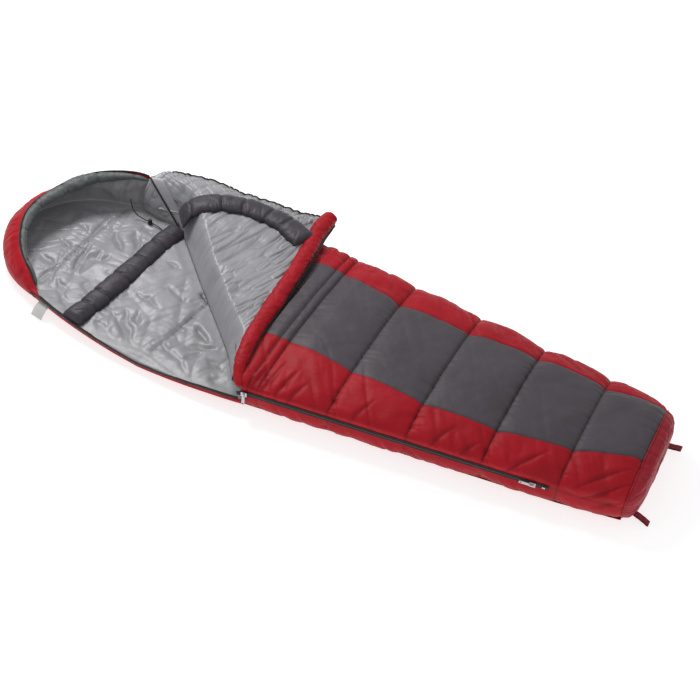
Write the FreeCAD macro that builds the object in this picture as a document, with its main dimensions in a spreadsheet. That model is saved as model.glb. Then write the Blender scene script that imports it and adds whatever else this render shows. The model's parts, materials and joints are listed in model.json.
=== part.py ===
"""Mummy sleeping bag laid out on the ground with the corner of its top quilt thrown open.

Millimetres.  +X runs from the head to the foot, -Y is the zipper side, +Z is up.
The origin is on the flat underside, on the centreline, half way along the bag.
Plan positions below are written as distances from the tip of the hood and
moved to the origin by at_x().
"""
import FreeCAD
import Part
import Sketcher
import math
import os

from FreeCAD import Placement, Rotation, Vector

DOC = FreeCAD.newDocument("mummy_sleeping_bag")

# ---------------------------------------------------------------- driving sizes
SIZES = {
    # plan of the bag, distances from the hood tip and half widths
    "bag_length": 2090,
    "head_radius": 270,
    "mouth_station": 985,
    "mouth_half_width": 350,
    "knee_station": 1910,
    "knee_half_width": 240,
    "foot_half_width": 208,
    # heights of the closed tube and thickness of its layers
    "mouth_crown": 150,
    "knee_crown": 172,
    "foot_crown": 190,
    "arch_spring": 90,
    "zipper_level": 74,
    "fabric": 2,
    "base_filling": 31,
    "quilt_filling": 28,
    "foot_bulge": 35,
    "foot_bulge_share": 0.88,
    # half widths of the centre panel on top
    "mouth_centre_panel": 185,
    "knee_centre_panel": 145,
    "foot_centre_panel": 122,
    # top quilt beside the opening and its thrown-back corner
    "cavity_level": 85,
    "fold_near_station": 968,
    "fold_near_side": 345,
    "fold_far_station": 345,
    "fold_clearance": 2,
    "layer_clearance": 0.3,
    "flap_corner_station": 885,
    "flap_corner_side": 440,
    "flap_head_bow": 20,
    "edge_tube_width": 38,
    "edge_tube_start": 56,
    "flap_side_panel": 150,
    "binding_width": 3,
    # draft collars
    "collar_width": 70,
    "collar_height": 24,
    "neck_collar_station": 418,
    "neck_collar_margin": 23.7,
    "neck_collar_far": 190,
    # hood
    "hood_near_run": 330,
    "hood_far_run": 425,
    "hood_curl": 70,
    "hood_filling": 20,
    "hood_height": 100,
    "hood_near_height": 42,
    "hood_end_angle": 78,
    "face_tube_radius": 13,
    # zipper
    "tape_width": 13,
    "tape_thickness": 0.8,
    "tape_stand_off": 2.4,
    "coil_width": 5,
    "coil_height": 2.4,
    "closed_zip_length": 905,
    "open_zip_head_station": 215,
    "open_tape_overhang": 4,
    "open_tape_inset": 9,
    "draft_tube_radius": 10.5,
    "hem_width": 3,
    "stop_length": 9,
    "slider_length": 18,
    "slider_width": 15,
    "slider_plate": 3.4,
    "slider_gap": 0.3,
    "crown_length": 12,
    "crown_rise": 4.2,
    "crown_bar": 1.6,
    "crown_width": 3,
    "pull_length": 30,
    "pull_width": 9,
    "pull_thickness": 1.6,
    "pull_pin_radius": 0.9,
    "pull_hole_radius": 2.4,
    "lower_slider_run": 860,
    # hanging loops, label and drawcord
    "loop_length": 38,
    "loop_width": 18,
    "loop_rise": 9.6,
    "webbing": 1.6,
    "loop_side": 150,
    "label_station": 285,
    "label_length": 44,
    "label_width": 36,
    "label_thickness": 1.2,
    "label_level": 14,
    "garage_station": 235,
    "garage_length": 26,
    "garage_width": 18,
    "garage_thickness": 1.6,
    "cord_diameter": 3.5,
    "cord_clearance": 0.35,
    "lock_distance": 26.7,
    "lock_radius": 7.5,
    "lock_height": 16,
    "lock_bore": 5.8,
    "lock_floor": 1.5,
    "button_radius": 5.5,
    "button_top": 21,
    "button_bar": 1.5,
    "button_stroke": 3,
    "spring_rise": 4.5,
    "spring_radius": 4,
    "spring_wire": 0.4,
    "spring_clearance": 0.05,
}

SHEET = DOC.addObject("Spreadsheet::Sheet", "Sizes")
for row, (name, value) in enumerate(SIZES.items(), start=1):
    SHEET.set(f"A{row}", name)
    SHEET.set(f"B{row}", str(value))
    SHEET.setAlias(f"B{row}", name)
DOC.recompute()


def size(name):
    """Value of a driving size."""
    return float(SHEET.get(name))


NODES = []


# ---------------------------------------------------------------- small helpers
def at_x(station):
    """X of a distance measured from the tip of the hood."""
    return station - size("bag_length") / 2


def spot(station, side, level=0.0):
    """Point from a station along the bag, a side offset and a height."""
    return Vector(at_x(station), side, level)


def feature(name, shape, placement=None):
    """A sub-part whose shape is worked out with Part's own functions."""
    made = DOC.addObject("Part::Feature", name)
    made.Label = name
    made.Shape = shape
    if placement is not None:
        made.Placement = placement
    NODES.append(made)
    return made


def segments(*corners):
    """Edges joining the corners in order, without closing."""
    return [Part.makeLine(a, b) for a, b in zip(corners, corners[1:])]


def three_point_arc(first, middle, last):
    return Part.Arc(first, middle, last).toShape()


def prism(edges, low, high):
    """Solid with a flat plan outline between two heights."""
    face = Part.Face(Part.Wire(edges))
    face.translate(Vector(0, 0, low - face.BoundBox.ZMin))
    return face.extrude(Vector(0, 0, high - low))


def loft(wires):
    return Part.makeLoft(wires, True, True)


# ---------------------------------------------------------------- plan outline
class Outline:
    """Half plan of the bag: head arc, shoulder arc tangent to it, two tapers.

    side is +1 for the far half and -1 for the zipper half.
    """

    def __init__(self):
        self.head = size("head_radius")
        run = size("knee_station") - size("mouth_station")
        drop = size("mouth_half_width") - size("knee_half_width")
        self.normal = Vector(drop, run, 0).normalize()
        mouth = Vector(size("mouth_station") - self.head, size("mouth_half_width"), 0)
        self.shoulder = (mouth.Length**2 - self.head**2) / (
            2 * (mouth.dot(self.normal) - self.head)
        )
        self.centre = Vector(self.head, 0, 0) + mouth - self.normal * self.shoulder
        away = (Vector(self.head, 0, 0) - self.centre).normalize()
        self.join = self.centre + away * self.shoulder
        self.join_turn = math.atan2(self.join.y, self.head - self.join.x)
        self.head_run = self.head * self.join_turn

    def half_width(self, station, inset=0.0):
        """Half width of the outline at a station beyond the head arc."""
        if station <= size("mouth_station"):
            reach = self.shoulder - inset
            return self.centre.y + math.sqrt(reach**2 - (station - self.centre.x) ** 2)
        stations = ["mouth", "knee", "foot"]
        places = [size("mouth_station"), size("knee_station"), size("bag_length")]
        for index in (0, 1):
            if station <= places[index + 1] or index == 1:
                start = size(stations[index] + "_half_width")
                end = size(stations[index + 1] + "_half_width")
                share = (station - places[index]) / (places[index + 1] - places[index])
                return start + (end - start) * share - inset

    def on_shoulder(self, station, side, inset=0.0, level=0.0):
        return spot(station, side * self.half_width(station, inset), level)

    def run_frame(self, run):
        """Point, inward direction and forward direction at a run from the head tip."""
        side = 1 if run >= 0 else -1
        run = abs(run)
        if run <= self.head_run:
            turn = run / self.head
            inward = Vector(math.cos(turn), -math.sin(turn), 0)
            centre, reach = Vector(self.head, 0, 0), self.head
        else:
            inward = (self.centre - self.join).normalize()
            turn = -(run - self.head_run) / self.shoulder
            inward = Rotation(Vector(0, 0, 1), math.degrees(turn)).multVec(inward)
            centre, reach = self.centre, self.shoulder
        point = centre - inward * reach
        mirrored = Vector(inward.x, side * inward.y, 0)
        return spot(point.x, side * point.y), mirrored

    def mouth_point(self, side, inset):
        point = self.centre + self.normal * (self.shoulder - inset)
        return spot(point.x, side * point.y)

    def edges(self, inset=0.0):
        """Closed plan outline, moved inwards by inset."""
        head_tip = spot(inset, 0)
        away = (self.join - self.centre).normalize()
        edges = []
        for side in (1, -1):
            join = self.centre + away * (self.shoulder - inset)
            join_point = spot(join.x, side * join.y)
            half_turn = self.join_turn / 2
            reach = self.head - inset
            half_way = spot(
                self.head - reach * math.cos(half_turn), side * reach * math.sin(half_turn)
            )
            middle = 0.5 * (self.join.x + size("mouth_station"))
            shoulder_middle = self.on_shoulder(middle, side, inset)
            mouth = self.mouth_point(side, inset)
            knee = spot(size("knee_station"), side * self.half_width(size("knee_station"), inset))
            foot = spot(size("bag_length"), side * self.half_width(size("bag_length"), inset))
            half = [
                three_point_arc(head_tip, half_way, join_point),
                three_point_arc(join_point, shoulder_middle, mouth),
                *segments(mouth, knee, foot),
            ]
            edges.append(half)
        far, near = edges
        far_foot = far[-1].Vertexes[-1].Point
        near_foot = near[-1].Vertexes[-1].Point
        return far + [Part.makeLine(far_foot, near_foot)] + near


PLAN = Outline()
FABRIC = size("fabric")
BASE_TOP = 2 * FABRIC + size("base_filling")
QUILT = 2 * FABRIC + size("quilt_filling")
CAVITY = size("cavity_level")
QUILT_TOP = CAVITY + QUILT


# ---------------------------------------------------------------- bottom layer
def add_bottom_layer():
    """Tray-shaped outer fabric with filling and lining laid inside it."""
    outer = prism(Part.sortEdges(PLAN.edges())[0], 0, BASE_TOP)
    inside = Part.sortEdges(PLAN.edges(FABRIC))[0]
    feature("bottom_shell", outer.cut(prism(inside, FABRIC, BASE_TOP + FABRIC)))
    outline = DOC.addObject("Part::Feature", "lining_outline")
    outline.Shape = Part.Wire(inside)
    for name, low, thickness in (
        ("bottom_insulation", "Sizes.fabric", "Sizes.base_filling"),
        ("bottom_lining", "Sizes.fabric + Sizes.base_filling", "Sizes.fabric"),
    ):
        layer = DOC.addObject("Part::Extrusion", name)
        layer.Label = name
        layer.Base = outline
        layer.DirMode = "Custom"
        layer.Dir = Vector(0, 0, 1)
        layer.Solid = True
        layer.setExpression("LengthFwd", thickness)
        layer.setExpression(".Placement.Base.z", low)
        NODES.append(layer)


# ---------------------------------------------------------------- closed tube
STATIONS = ("mouth", "knee", "foot")


def station_of(name):
    return size("bag_length") if name == "foot" else size(name + "_station")


def ellipse_arc(station, half_width, rise, start, end):
    """Arc of the arch in the plane of a station, angles from the far side."""
    centre = spot(station, 0, size("arch_spring"))
    curve = Part.Ellipse(
        centre + Vector(0, half_width, 0), centre + Vector(0, 0, rise), centre
    )
    return Part.ArcOfEllipse(curve, start, end).toShape()


def band_wire(name, outer, inner, angles, far_foot=None, near_foot=None):
    """Closed section of one layer of the arch, between two insets.

    The arcs break at the given angles, so that every layer has its rulings
    on the same seams as the panels outside it.
    """
    station = station_of(name)
    width = size(name + "_half_width")
    rise = size(name + "_crown") - size("arch_spring")
    spring = size("arch_spring")
    sides = []
    for inset in (outer, inner):
        edges = [
            ellipse_arc(station, width - inset, rise - inset, start, end)
            for start, end in zip(angles, angles[1:])
        ]
        if far_foot is not None:
            foot = spot(station, width - inset, far_foot)
            edges.insert(0, Part.makeLine(foot, spot(station, width - inset, spring)))
        if near_foot is not None:
            foot = spot(station, inset - width, near_foot)
            edges.append(Part.makeLine(spot(station, inset - width, spring), foot))
        sides.append(edges)
    outer_edges, inner_edges = sides
    caps = [
        Part.makeLine(outer_edges[i].Vertexes[i].Point, inner_edges[i].Vertexes[i].Point)
        for i in (0, -1)
    ]
    return Part.Wire(outer_edges + [caps[1]] + inner_edges[::-1] + [caps[0]])


def band(outer, inner, angles, far_foot=None, near_foot=None):
    """Layer of the closed tube, lofted over its stations."""
    return loft(
        [band_wire(s, outer, inner, angles(s), far_foot, near_foot) for s in STATIONS]
    )


def panel_angle(name, gap=0.0):
    """Angle at which the centre panel's seam crosses the arch, moved in by a gap."""
    width = size(name + "_half_width")
    return math.acos(size(name + "_centre_panel") / width) + gap / width


def side_wall(side, outer, inner, low, high):
    """Upright wall of the closed tube beside the ground."""
    wires = []
    for name in STATIONS:
        station, width = station_of(name), size(name + "_half_width")
        corners = [
            spot(station, side * (width - inset), level)
            for inset, level in ((outer, low), (outer, high), (inner, high), (inner, low))
        ]
        wires.append(Part.Wire(segments(*corners, corners[0])))
    return loft(wires)


def add_closed_tube():
    """Upper layers over the legs, split at the zipper and at the panel seams."""
    zip_level, gap = size("zipper_level"), size("layer_clearance")

    def centre(name):
        return panel_angle(name, gap), math.pi - panel_angle(name, gap)

    def near(name):
        return math.pi - panel_angle(name), math.pi

    def far(name):
        return 0, panel_angle(name)

    def whole(name):
        return 0, panel_angle(name), math.pi - panel_angle(name), math.pi

    feature("top_centre_panel", band(0, FABRIC, centre))
    feature("top_side_panel_near", band(0, FABRIC, near, near_foot=zip_level))
    feature("top_side_panel_far", band(0, FABRIC, far, far_foot=BASE_TOP))
    feature("top_insulation", band(
        FABRIC + gap, QUILT - FABRIC - gap, whole, far_foot=BASE_TOP, near_foot=zip_level))
    feature("top_lining", band(
        QUILT - FABRIC, QUILT, whole, far_foot=BASE_TOP, near_foot=zip_level))
    feature("lower_side_shell", side_wall(-1, 0, FABRIC, BASE_TOP, zip_level))
    feature("lower_side_insulation", side_wall(-1, FABRIC, QUILT - FABRIC, BASE_TOP, zip_level))
    feature("lower_side_lining", side_wall(-1, QUILT - FABRIC, QUILT, BASE_TOP, zip_level))


# ---------------------------------------------------------------- foot box
def foot_wire(inset, station, share):
    """Outline of the foot end, shrunk about its middle by share."""
    width, crown = size("foot_half_width") - inset, size("foot_crown") - inset
    spring, low, middle = size("arch_spring"), inset, size("foot_crown") / 2
    arc = ellipse_arc(size("bag_length"), width, crown - spring, 0, math.pi)
    foot = size("bag_length")
    corners = [spot(foot, -width, spring), spot(foot, -width, low), spot(foot, width, low),
               spot(foot, width, spring)]
    wire = Part.Wire([arc] + segments(*corners))
    centre = spot(foot, 0, middle)
    matrix = FreeCAD.Matrix()
    matrix.move(centre * -1)
    matrix.scale(Vector(1, share, share))
    matrix.move(centre + Vector(station - foot, 0, 0))
    return wire.transformGeometry(matrix)


def add_foot_box():
    """Bulging end panel over a filled pad, with its lining inside the tube."""
    length, share = size("bag_length"), size("foot_bulge_share")
    bulge = size("foot_bulge")
    outer = loft([foot_wire(0, length, 1), foot_wire(0, length + bulge, share)])
    pad = loft([foot_wire(FABRIC, length, 1), foot_wire(FABRIC, length + bulge - FABRIC, share)])
    feature("foot_end_panel", outer.cut(pad))
    feature("foot_insulation", pad)
    inset = QUILT + size("layer_clearance")
    width = size("foot_half_width") - inset
    rise = size("foot_crown") - size("arch_spring") - inset
    back = length - FABRIC
    arc = ellipse_arc(back, width, rise, 0, math.pi)
    floor = BASE_TOP + size("layer_clearance")
    corners = [spot(back, -width, size("arch_spring")), spot(back, -width, floor),
               spot(back, width, floor), spot(back, width, size("arch_spring"))]
    lining = Part.Face(Part.Wire([arc] + segments(*corners)))
    feature("foot_lining", lining.extrude(Vector(FABRIC, 0, 0)))


# ---------------------------------------------------------------- fold geometry
FOLD_NEAR = spot(size("fold_near_station"), -size("fold_near_side"))
FOLD_FAR = PLAN.on_shoulder(size("fold_far_station"), 1, FABRIC)
FOLD_ALONG = (FOLD_FAR - FOLD_NEAR).normalize()
FOLD_ACROSS = Vector(FOLD_ALONG.y, -FOLD_ALONG.x, 0)
FLAP_CORNER = spot(size("flap_corner_station"), size("flap_corner_side"))
EDGE_ALONG = (FLAP_CORNER - FOLD_NEAR).normalize()
EDGE_INWARD = Vector(-EDGE_ALONG.y, EDGE_ALONG.x, 0)
EDGE_LENGTH = (FLAP_CORNER - FOLD_NEAR).Length


def raised(point, level):
    return Vector(point.x, point.y, level)


def layered(names, low, build):
    """Shell, filling and lining stacked over one plan, in the order of names."""
    for name, thickness in zip(names, (FABRIC, size("quilt_filling"), FABRIC)):
        feature(name, build(low, low + thickness))
        low += thickness


def add_shoulder_quilt():
    """The part of the top quilt that stays down beside the opening."""
    inset, mouth = FABRIC + size("layer_clearance"), size("mouth_station")
    near = PLAN.on_shoulder(mouth, -1, inset)
    far = PLAN.on_shoulder(mouth, 1, inset)
    start = FOLD_NEAR + FOLD_ACROSS * size("layer_clearance")
    middle = PLAN.on_shoulder(0.5 * (size("fold_far_station") + mouth), 1, inset)
    end = PLAN.on_shoulder(size("fold_far_station") + size("layer_clearance"), 1, inset)
    edges = segments(start, near, far)
    edges += [three_point_arc(far, middle, end), Part.makeLine(end, start)]
    layered(
        ("shoulder_quilt_lining", "shoulder_quilt_insulation", "shoulder_quilt_shell"),
        CAVITY,
        lambda low, high: prism(edges, low, high),
    )


def shoulder_band(side, outer, inner, low, high, start, end):
    """Strip following the shoulder arc between two insets and two stations."""
    middle = 0.5 * (start + end)
    outside = [PLAN.on_shoulder(s, side, outer) for s in (start, middle, end)]
    inside = [PLAN.on_shoulder(s, side, inner) for s in (start, middle, end)]
    edges = [
        three_point_arc(*outside),
        Part.makeLine(outside[2], inside[2]),
        three_point_arc(*inside),
        Part.makeLine(inside[0], outside[0]),
    ]
    return prism(Part.sortEdges(edges)[0], low, high)


def add_shoulder_wall():
    """Far side wall that carries the shoulder quilt."""
    start, end = size("fold_far_station"), size("mouth_station")
    feature("shoulder_wall_shell", shoulder_band(1, 0, FABRIC, BASE_TOP, QUILT_TOP, start, end))
    feature("shoulder_wall_insulation", shoulder_band(
        1, FABRIC, QUILT - FABRIC, BASE_TOP, CAVITY, start, end))
    feature("shoulder_wall_lining", shoulder_band(
        1, QUILT - FABRIC, QUILT, BASE_TOP, CAVITY, start, end))


# ---------------------------------------------------------------- thrown-back corner
FLAP_LOW = QUILT_TOP + size("layer_clearance")
FLAP_TOP = FLAP_LOW + QUILT


def flap_arc_points():
    """Head edge of the flap, bowed outwards from the fold to the zipper tube."""
    start = FOLD_FAR + FOLD_ACROSS * size("fold_clearance")
    end = FLAP_CORNER + EDGE_INWARD * size("edge_tube_width")
    bow = Vector(-(end - start).y, (end - start).x, 0).normalize()
    middle = (start + end) * 0.5 + bow * size("flap_head_bow")
    return start, middle, end


def flap_plan():
    """Plan of the flap's layers between the fold, the head edge and the zipper tube."""
    start, middle, end = flap_arc_points()
    shift = size("edge_tube_width")
    line_point = FOLD_NEAR + EDGE_INWARD * shift
    along = (size("fold_clearance") - EDGE_INWARD.dot(FOLD_ACROSS) * shift) / EDGE_ALONG.dot(
        FOLD_ACROSS
    )
    heel = line_point + EDGE_ALONG * along
    return [three_point_arc(start, middle, end), Part.makeLine(end, heel), Part.makeLine(heel, start)]


def along_edge(name, offset, low, width, thickness, start, end):
    """Straight strip parallel to the flap's zipper edge."""
    corner = raised(FOLD_NEAR + EDGE_ALONG * start + EDGE_INWARD * offset, low)
    strip = DOC.addObject("Part::Box", name)
    strip.Label = name
    strip.Length = end - start
    strip.Width = width
    strip.Height = thickness
    turn = math.degrees(math.atan2(EDGE_ALONG.y, EDGE_ALONG.x))
    strip.Placement = Placement(corner, Rotation(Vector(0, 0, 1), turn))
    NODES.append(strip)
    return strip


def add_flap():
    """Lining-side-up corner of the top quilt, resting on the shoulder quilt."""
    plan = flap_plan()
    tube = size("edge_tube_width")
    side_strip = Part.makeBox(2 * EDGE_LENGTH, size("flap_side_panel"), QUILT)
    turn = math.degrees(math.atan2(EDGE_ALONG.y, EDGE_ALONG.x))
    side_strip.Placement = Placement(
        raised(FOLD_NEAR - EDGE_ALONG * (0.5 * EDGE_LENGTH) + EDGE_INWARD * tube, FLAP_LOW),
        Rotation(Vector(0, 0, 1), turn),
    )
    shell = prism(plan, FLAP_LOW, FLAP_LOW + FABRIC)
    feature("flap_side_panel", shell.common(side_strip))
    feature("flap_centre_panel", shell.cut(side_strip))
    feature("flap_insulation", prism(plan, FLAP_LOW + FABRIC, FLAP_TOP - FABRIC))
    feature("flap_lining", prism(plan, FLAP_TOP - FABRIC, FLAP_TOP))

    start, middle, end = flap_arc_points()
    outer = [p + v for p, v in zip((start, middle, end), binding_offsets(start, middle, end))]
    edges = [
        three_point_arc(start, middle, end),
        Part.makeLine(end, outer[2]),
        three_point_arc(*outer),
        Part.makeLine(outer[0], start),
    ]
    feature("flap_binding", prism(Part.sortEdges(edges)[0], FLAP_LOW, FLAP_TOP))

    first = size("edge_tube_start")
    strip = along_edge("flap_edge_tube", 0, FLAP_LOW, tube, QUILT, first, EDGE_LENGTH)
    strip.setExpression("Width", "Sizes.edge_tube_width")
    tape, web = size("tape_width"), size("tape_thickness")
    middle_level = 0.5 * (FLAP_LOW + FLAP_TOP)
    tape_low = middle_level - tape / 2
    strip = along_edge("flap_zipper_tape", -web, tape_low, web, tape, first, EDGE_LENGTH)
    strip.setExpression("Width", "Sizes.tape_thickness")
    strip.setExpression("Height", "Sizes.tape_width")
    coil = size("coil_height")
    stop = EDGE_LENGTH - 2 * size("stop_length")
    strip = along_edge(
        "flap_zipper_coil", -web - coil, tape_low, coil, size("coil_width") / 2, first, stop)
    strip.setExpression("Width", "Sizes.coil_height")
    strip = along_edge(
        "flap_top_stop", -web - coil, tape_low, coil, size("coil_width"),
        stop, stop + size("stop_length"))
    strip.setExpression("Width", "Sizes.coil_height")


def binding_offsets(start, middle, end):
    """Outward offsets of the flap's head edge that keep its arc concentric."""
    centre = three_point_arc(start, middle, end).Curve.Center
    width = size("binding_width")
    return [(p - centre).normalize() * width for p in (start, middle, end)]


# ---------------------------------------------------------------- draft collars
def collar_profile(origin, across, up):
    """Half-round section of a draft collar, flat side on the lining."""
    half = size("collar_width") / 2
    left, right = origin - across * half, origin + across * half
    top = origin + up * size("collar_height")
    return Part.Face(Part.Wire([three_point_arc(left, top, right), Part.makeLine(right, left)]))


def add_collars():
    """Padded neck collar on the base and its counterpart on the flap."""
    station = size("neck_collar_station")
    start = PLAN.on_shoulder(station, -1, size("neck_collar_margin"), BASE_TOP)
    end = spot(station, size("neck_collar_far"), BASE_TOP)
    section = collar_profile(start, Vector(1, 0, 0), Vector(0, 0, 1))
    feature("neck_collar", section.extrude(end - start))

    first, middle, last = (
        spot(500, 215, FLAP_TOP), spot(680, 322, FLAP_TOP), spot(842, 285, FLAP_TOP))
    centre = three_point_arc(first, middle, last).Curve.Center
    radial = (first - centre).normalize()
    section = collar_profile(first, radial, Vector(0, 0, 1))
    sweep = math.degrees((first - centre).getAngle(last - centre))
    feature("flap_collar", section.revolve(centre, Vector(0, 0, 1), -sweep))


# ---------------------------------------------------------------- hood
HOOD_SHARES = (0.0, 0.14, 0.28, 0.44, 0.6, 0.76, 0.9, 1.0)


def hood_rise(share):
    """Height of the hood's lip above the base, low on the zipper side."""
    full, near = size("hood_height"), size("hood_near_height")
    ramp = min(1.0, share / HOOD_SHARES[2])
    return near + (full - near) * math.sin(ramp * math.pi / 2)


def hood_frame(share):
    run = -size("hood_near_run") + share * (size("hood_near_run") + size("hood_far_run"))
    return PLAN.run_frame(run)


def hood_point(share, inset, angle):
    """Point of the lip's curl, the angle measured up from the ground."""
    edge, inward = hood_frame(share)
    curl, rise = size("hood_curl"), hood_rise(share)
    reach = curl - (curl - inset) * math.cos(angle)
    return edge + inward * reach + Vector(0, 0, BASE_TOP + (rise - inset) * math.sin(angle))


def hood_layer(outer, inner):
    """One layer of the turned-up lip, lofted round the head."""
    end = math.radians(size("hood_end_angle"))
    wires = []
    for share in HOOD_SHARES:
        outside = [hood_point(share, outer, a) for a in (0, end / 2, end)]
        inside = [hood_point(share, inner, a) for a in (0, end / 2, end)]
        wires.append(Part.Wire([
            three_point_arc(*outside),
            Part.makeLine(outside[2], inside[2]),
            three_point_arc(*inside[::-1]),
            Part.makeLine(inside[0], outside[0]),
        ]))
    return loft(wires)


def tube_section(share):
    """Circle of the padded face tube, just clear of the lip's end."""
    end = math.radians(size("hood_end_angle"))
    thickness = 2 * FABRIC + size("hood_filling")
    outer, inner = hood_point(share, 0, end), hood_point(share, thickness, end)
    inward = hood_frame(share)[1]
    radius = size("face_tube_radius")
    up = (outer - inner).normalize()
    forward = Vector(-inward.y, inward.x, 0)
    onward = up.cross(forward)
    if onward.dot(inward) < 0:
        onward = onward * -1
    centre = (outer + inner) * 0.5 + onward * (radius + size("layer_clearance"))
    corners = [
        centre + (onward * math.cos(a) + up * math.sin(a)) * radius
        for a in (math.radians(45 * k) for k in range(8))
    ]
    return Part.Wire(segments(*corners, corners[0]))


def add_hood():
    """Turned-up lip of the hood in three layers with a padded tube at its rim."""
    thickness, gap = 2 * FABRIC + size("hood_filling"), size("layer_clearance")
    feature("hood_shell", hood_layer(0, FABRIC))
    feature("hood_insulation", hood_layer(FABRIC + gap, thickness - FABRIC - gap))
    feature("hood_lining", hood_layer(thickness - FABRIC, thickness))
    feature("hood_face_tube", loft([tube_section(share) for share in HOOD_SHARES]))


# ---------------------------------------------------------------- closed zipper
ZIP_START = spot(size("mouth_station"), -size("mouth_half_width"), size("zipper_level"))
ZIP_ALONG = (
    spot(size("knee_station"), -size("knee_half_width"), size("zipper_level")) - ZIP_START
).normalize()
ZIP_OUT = ZIP_ALONG.cross(Vector(0, 0, 1))
ZIP_TURN = math.degrees(math.atan2(ZIP_ALONG.y, ZIP_ALONG.x))


def zip_placement(run):
    """Frame on the closed zipper: x along it, y up, z out of the bag."""
    upright = Rotation(Vector(0, 0, 1), ZIP_TURN) * Rotation(Vector(1, 0, 0), 90)
    return Placement(ZIP_START + ZIP_ALONG * run, upright)


def zip_strip(name, run, length, low, width, out, thickness):
    """Box along the closed zipper, low and width measured up from its middle."""
    strip = DOC.addObject("Part::Box", name)
    strip.Label = name
    strip.setExpression("Length", length)
    strip.setExpression("Width", width)
    strip.setExpression("Height", thickness)
    frame = zip_placement(run)
    strip.Placement = Placement(frame.multVec(Vector(0, low, out)), frame.Rotation)
    NODES.append(strip)
    return strip


def tape_profile(side):
    """Hemmed half of the zipper tape, sewn down at its outer edge."""
    gap, width = 0.5, size("tape_width")
    out, top = size("tape_stand_off"), size("tape_stand_off") + size("tape_thickness")
    edge = width if side < 0 else width - 2
    hem = edge - size("hem_width")
    corners = [(gap, out), (hem, out), (hem, 0), (edge, 0), (edge, top), (gap, top)]
    points = [Vector(0, side * across, depth) for across, depth in corners]
    return Part.Face(Part.Wire(segments(*points, points[0])))


def add_closed_zipper():
    """Two tapes, the meshed coil and the stop at the foot end."""
    length = size("closed_zip_length")
    for name, side in (("lower_zipper_tape", -1), ("upper_zipper_tape", 1)):
        strip = tape_profile(side).extrude(Vector(length, 0, 0))
        feature(name, strip, zip_placement(0))
    top = size("tape_stand_off") + size("tape_thickness")
    stop = size("stop_length")
    zip_strip("zipper_coil", 0, "Sizes.closed_zip_length - 2 * Sizes.stop_length",
              -size("coil_width") / 2, "Sizes.coil_width", top, "Sizes.coil_height")
    zip_strip("zipper_bottom_stop", length - 2 * stop, "Sizes.stop_length",
              -size("coil_width") / 2, "Sizes.coil_width", top, "Sizes.coil_height")
    radius = size("draft_tube_radius")
    tube = Part.makeCylinder(radius, length, Vector(), Vector(1, 0, 0))
    inside = zip_placement(0).multVec(Vector(0, 0, -QUILT - radius - size("layer_clearance")))
    feature("zipper_draft_tube", tube, Placement(inside, zip_placement(0).Rotation))


def add_open_zipper():
    """Tape and coil left along the edge of the base when the flap is open."""
    start, end = size("open_zip_head_station"), size("mouth_station")
    level, outside = BASE_TOP + size("tape_thickness"), -size("open_tape_overhang")
    stop, top = size("stop_length"), level + size("coil_height")
    feature("open_zipper_tape", shoulder_band(
        -1, outside, size("open_tape_inset"), BASE_TOP, level, start, end))
    feature("open_zipper_coil", shoulder_band(
        -1, outside, outside + size("coil_width") / 2, level, top, start + 2 * stop, end))
    feature("open_zipper_stop", shoulder_band(
        -1, outside, outside + size("coil_width"), level, top, start + stop, start + 2 * stop))


# ---------------------------------------------------------------- sliders and pulls
def plane_of(body, role):
    return [f for f in body.Origin.OriginFeatures if f.Role == role][0]


def new_body(name):
    body = DOC.addObject("PartDesign::Body", name)
    body.Label = name
    NODES.append(body)
    return body


def sketch_on(body, role, name, offset=0.0):
    sketch = body.newObject("Sketcher::SketchObject", name)
    sketch.AttachmentSupport = [(plane_of(body, role), "")]
    sketch.MapMode = "FlatFace"
    sketch.AttachmentOffset = Placement(Vector(0, 0, offset), Rotation())
    return sketch


def rectangle(sketch, width, height, low=None):
    """Rectangle centred on the sketch's y axis, or on its origin if low is None."""
    half_w, half_h = 5.0, 3.0
    corners = [(-half_w, -half_h), (half_w, -half_h), (half_w, half_h), (-half_w, half_h)]
    points = [Vector(x, y, 0) for x, y in corners]
    first = sketch.GeometryCount
    for a, b in zip(points, points[1:] + points[:1]):
        sketch.addGeometry(Part.LineSegment(a, b), False)
    ids = [first + k for k in range(4)]
    for k in range(4):
        sketch.addConstraint(Sketcher.Constraint("Coincident", ids[k], 2, ids[(k + 1) % 4], 1))
    for k, kind in ((1, "Vertical"), (2, "Horizontal"), (3, "Vertical")):
        sketch.addConstraint(Sketcher.Constraint(kind, ids[k]))
    if low is None:
        sketch.addConstraint(Sketcher.Constraint("Horizontal", ids[0]))
        sketch.addConstraint(Sketcher.Constraint("Symmetric", ids[0], 1, ids[1], 2, -1, 1))
    else:
        sketch.addConstraint(Sketcher.Constraint("Symmetric", ids[0], 1, ids[0], 2, -2))
    for kind, edge, expression in (("DistanceX", ids[0], width), ("DistanceY", ids[1], height)):
        index = sketch.addConstraint(Sketcher.Constraint(kind, edge, 1, edge, 2, 4.0))
        sketch.setExpression(f"Constraints[{index}]", expression)
    if low is not None:
        index = sketch.addConstraint(
            Sketcher.Constraint("DistanceY", -1, 1, ids[0], 1, 1.0))
        sketch.setExpression(f"Constraints[{index}]", low)


def pad(body, sketch, length, symmetric=False):
    made = body.newObject("PartDesign::Pad", sketch.Name + "_pad")
    made.Profile = sketch
    made.setExpression("Length", length)
    if symmetric:
        made.SideType = "Symmetric"
    sketch.Visibility = False
    return made


def pocket(body, sketch, length, symmetric=False, reverse=False):
    made = body.newObject("PartDesign::Pocket", sketch.Name + "_pocket")
    made.Profile = sketch
    made.setExpression("Length", length)
    made.Reversed = reverse
    if symmetric:
        made.SideType = "Symmetric"
    sketch.Visibility = False
    return made


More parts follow.
